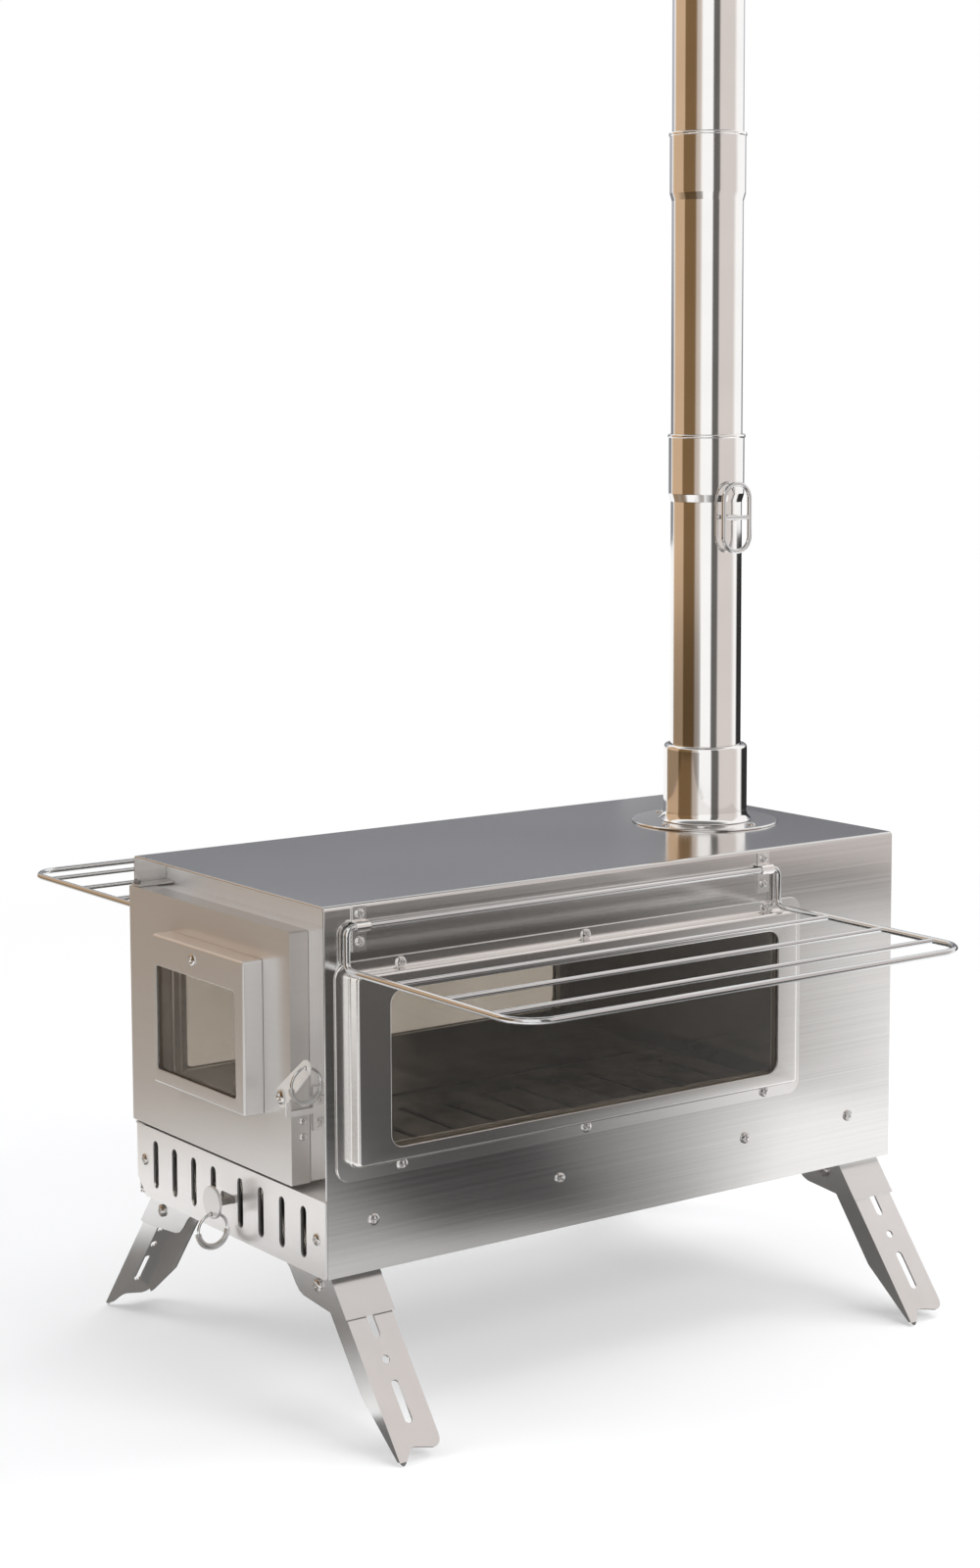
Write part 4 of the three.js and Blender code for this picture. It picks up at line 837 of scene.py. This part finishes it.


# Colours of the painted reflections on the cards, as linear red, green and blue.
WHITE = plain(1)
TAN, BROWN, BLUSH = (0.6, 0.42, 0.27), (0.2, 0.12, 0.055), (0.68, 0.63, 0.61)
SAND, CLAY, BUFF = (0.7, 0.56, 0.42), (0.52, 0.44, 0.38), (0.6, 0.53, 0.48)
SMOKE, DUSK, COAL, ASH = (0.07, 0.066, 0.062), (0.13, 0.125, 0.12), (0.12, 0.115, 0.11), (0.5, 0.49, 0.48)
FROST, SLATE, MIST = (0.8, 0.8, 0.85), (0.5, 0.51, 0.55), (0.9, 0.9, 0.95)
MOSS, UMBER, BARK = (0.42, 0.36, 0.3), (0.24, 0.18, 0.12), (0.3, 0.24, 0.18)
HAZE, STONE = (0.2, 0.19, 0.18), (0.3, 0.28, 0.26)

# Painted reflection: the tan and brown stripe down the pipe's left, and the warmth of the door.
card("card_left", 1.6,
     [(-86, SAND), (-78, TAN), (-34, TAN), (-30, BROWN), (12, BROWN), (18, CLAY), (30, BUFF), (38, WHITE)],
     [(0, 0.5), (0.35, 0.5), (0.5, 1), (1.8, 1)])
# Painted reflection: the grey line right of the pipe's middle and the pale band beside it, then its dark
# right edge.
card("card_right", 1.5, [(72, WHITE), (75, DUSK), (93, DUSK), (97, BLUSH), (145, BLUSH), (158, WHITE)],
     [(0.02, 1), (1.8, 1)])
card("card_edge", 1.6, [(164, WHITE), (172, plain(0.03)), (222, plain(0.03)), (228, plain(0.8))],
     [(0.02, 1), (0.56, 1)])
# Painted reflection: the dark front half of the long side.
card("card_low", 0.95,
     [(50, plain(0.9)), (86, SMOKE), (116, SMOKE), (124, COAL), (133, ASH), (142, WHITE)],
     [(0, 1), (0.19, 1), (0.25, 0)])
level_card("card_ground", 0.004,
           [(54, WHITE), (84, plain(0.5)), (93, plain(0.4)), (101, plain(0.05)), (115, plain(0.05)),
            (126, plain(0.45)), (134, WHITE)],
           [(0.43, 0), (0.5, 1), (0.95, 1)])
# Painted reflection: the blue-grey of the top plate.
card("card_back", 2.2, [(-165, FROST), (-150, SLATE), (-100, SLATE), (-88, MIST)],
     [(0.5, 0.5), (0.8, 0.45), (1.0, 0.8), (1.5, 1)])
# Painted reflections for the door, the front legs and the upper faces of the wires, and painted shade for
# the underside.
level_card("card_ground_door", 0.0038, [(20, WHITE), (36, STONE), (50, STONE), (54, WHITE)],
           [(0.8, 0), (0.95, 1), (1.45, 1)])
level_card("card_ground_left", 0.004, [(-84, WHITE), (-64, MOSS), (-40, UMBER), (-28, BARK), (-16, WHITE)],
           [(0.72, 0), (0.88, 0.7), (1.05, 1), (1.6, 1)])
level_card("card_front", 0.0035, [(-75, WHITE), (-55, HAZE), (-5, HAZE), (25, WHITE)],
           [(0.3, 1), (0.48, 1), (0.56, 0)])
# A dark sheet under the stove: painted shade, so that shiny surfaces underneath show a shadow in their
# reflections.
level_card("painted_shade_under", 0.003, [(0, SMOKE), (360, SMOKE)], [(0.01, 0.97), (0.36, 0.9), (0.48, 0)])
level_card("card_above", 2.0, [(0, SMOKE), (360, SMOKE)], [(0.15, 0.9), (0.9, 0.85), (1.3, 0)])


def softbox(name, at, towards, size, power):
    """A rectangular lamp at a place, turned to shine at a point."""
    data = bpy.data.lights.new(name, "AREA")
    data.shape = "RECTANGLE"
    data.size, data.size_y = size
    data.energy = power
    lamp = bpy.data.objects.new(name, data)
    scene.collection.objects.link(lamp)
    lamp.location = at
    lamp.rotation_euler = (Vector(towards) - Vector(at)).to_track_quat("-Z", "Y").to_euler()
    lamp.visible_glossy = False


softbox("key_left", (-1.6, -2.2, 2.4), (0, 0, 0.3), (1.6, 1.6), 40)
softbox("fill_right", (2.6, 0.8, 1.6), (0, 0, 0.3), (1.6, 1.6), 60)
softbox("top_back", (0.3, 1.9, 2.6), (0, 0, 0.5), (1.5, 1.5), 35)


# ---------------------------------------------------------------- camera
FILM_WIDTH = 36  # millimetres
FRAME_TALL = 1600  # pixels of the photograph's longer side, which the film's width stands for
FOCAL_PIXELS = 2881.7
DROP_PIXELS = 100  # the picture's middle lies this far below the line of sight
# Solved from the corners of the firebox, whose middle is 0.28 m behind its front edge.
CAMERA_YAW, CAMERA_PITCH, CAMERA_ROLL = 54.0636, 6.3171, -0.2067
CAMERA_AT = (1.8242, -1.3534 + 0.28 + FRONT_EDGE / 1000, 0.6553 + 0.118)


def photo_camera():
    """The camera that sees the stove as the photograph does. Its line of sight is turned by yaw and
    tipped by pitch, its right and its above are turned about that line by roll, and the three make
    the columns of its rotation."""
    data = bpy.data.cameras.new("camera")
    camera = bpy.data.objects.new("camera", data)
    scene.collection.objects.link(camera)
    scene.camera = camera
    data.sensor_width = FILM_WIDTH
    data.lens = FOCAL_PIXELS / FRAME_TALL * FILM_WIDTH
    data.shift_y = -DROP_PIXELS / FRAME_TALL
    camera.location = CAMERA_AT
    yaw, pitch, roll = np.radians([CAMERA_YAW, CAMERA_PITCH, CAMERA_ROLL])
    ahead = Vector((-np.sin(yaw) * np.cos(pitch), np.cos(yaw) * np.cos(pitch), -np.sin(pitch)))
    right = Vector((np.cos(yaw), np.sin(yaw), 0))
    above = right.cross(ahead)
    right, above = right * np.cos(roll) + above * np.sin(roll), above * np.cos(roll) - right * np.sin(roll)
    camera.rotation_mode = "QUATERNION"
    camera.rotation_quaternion = Matrix((right, above, -ahead)).transposed().to_quaternion()


photo_camera()
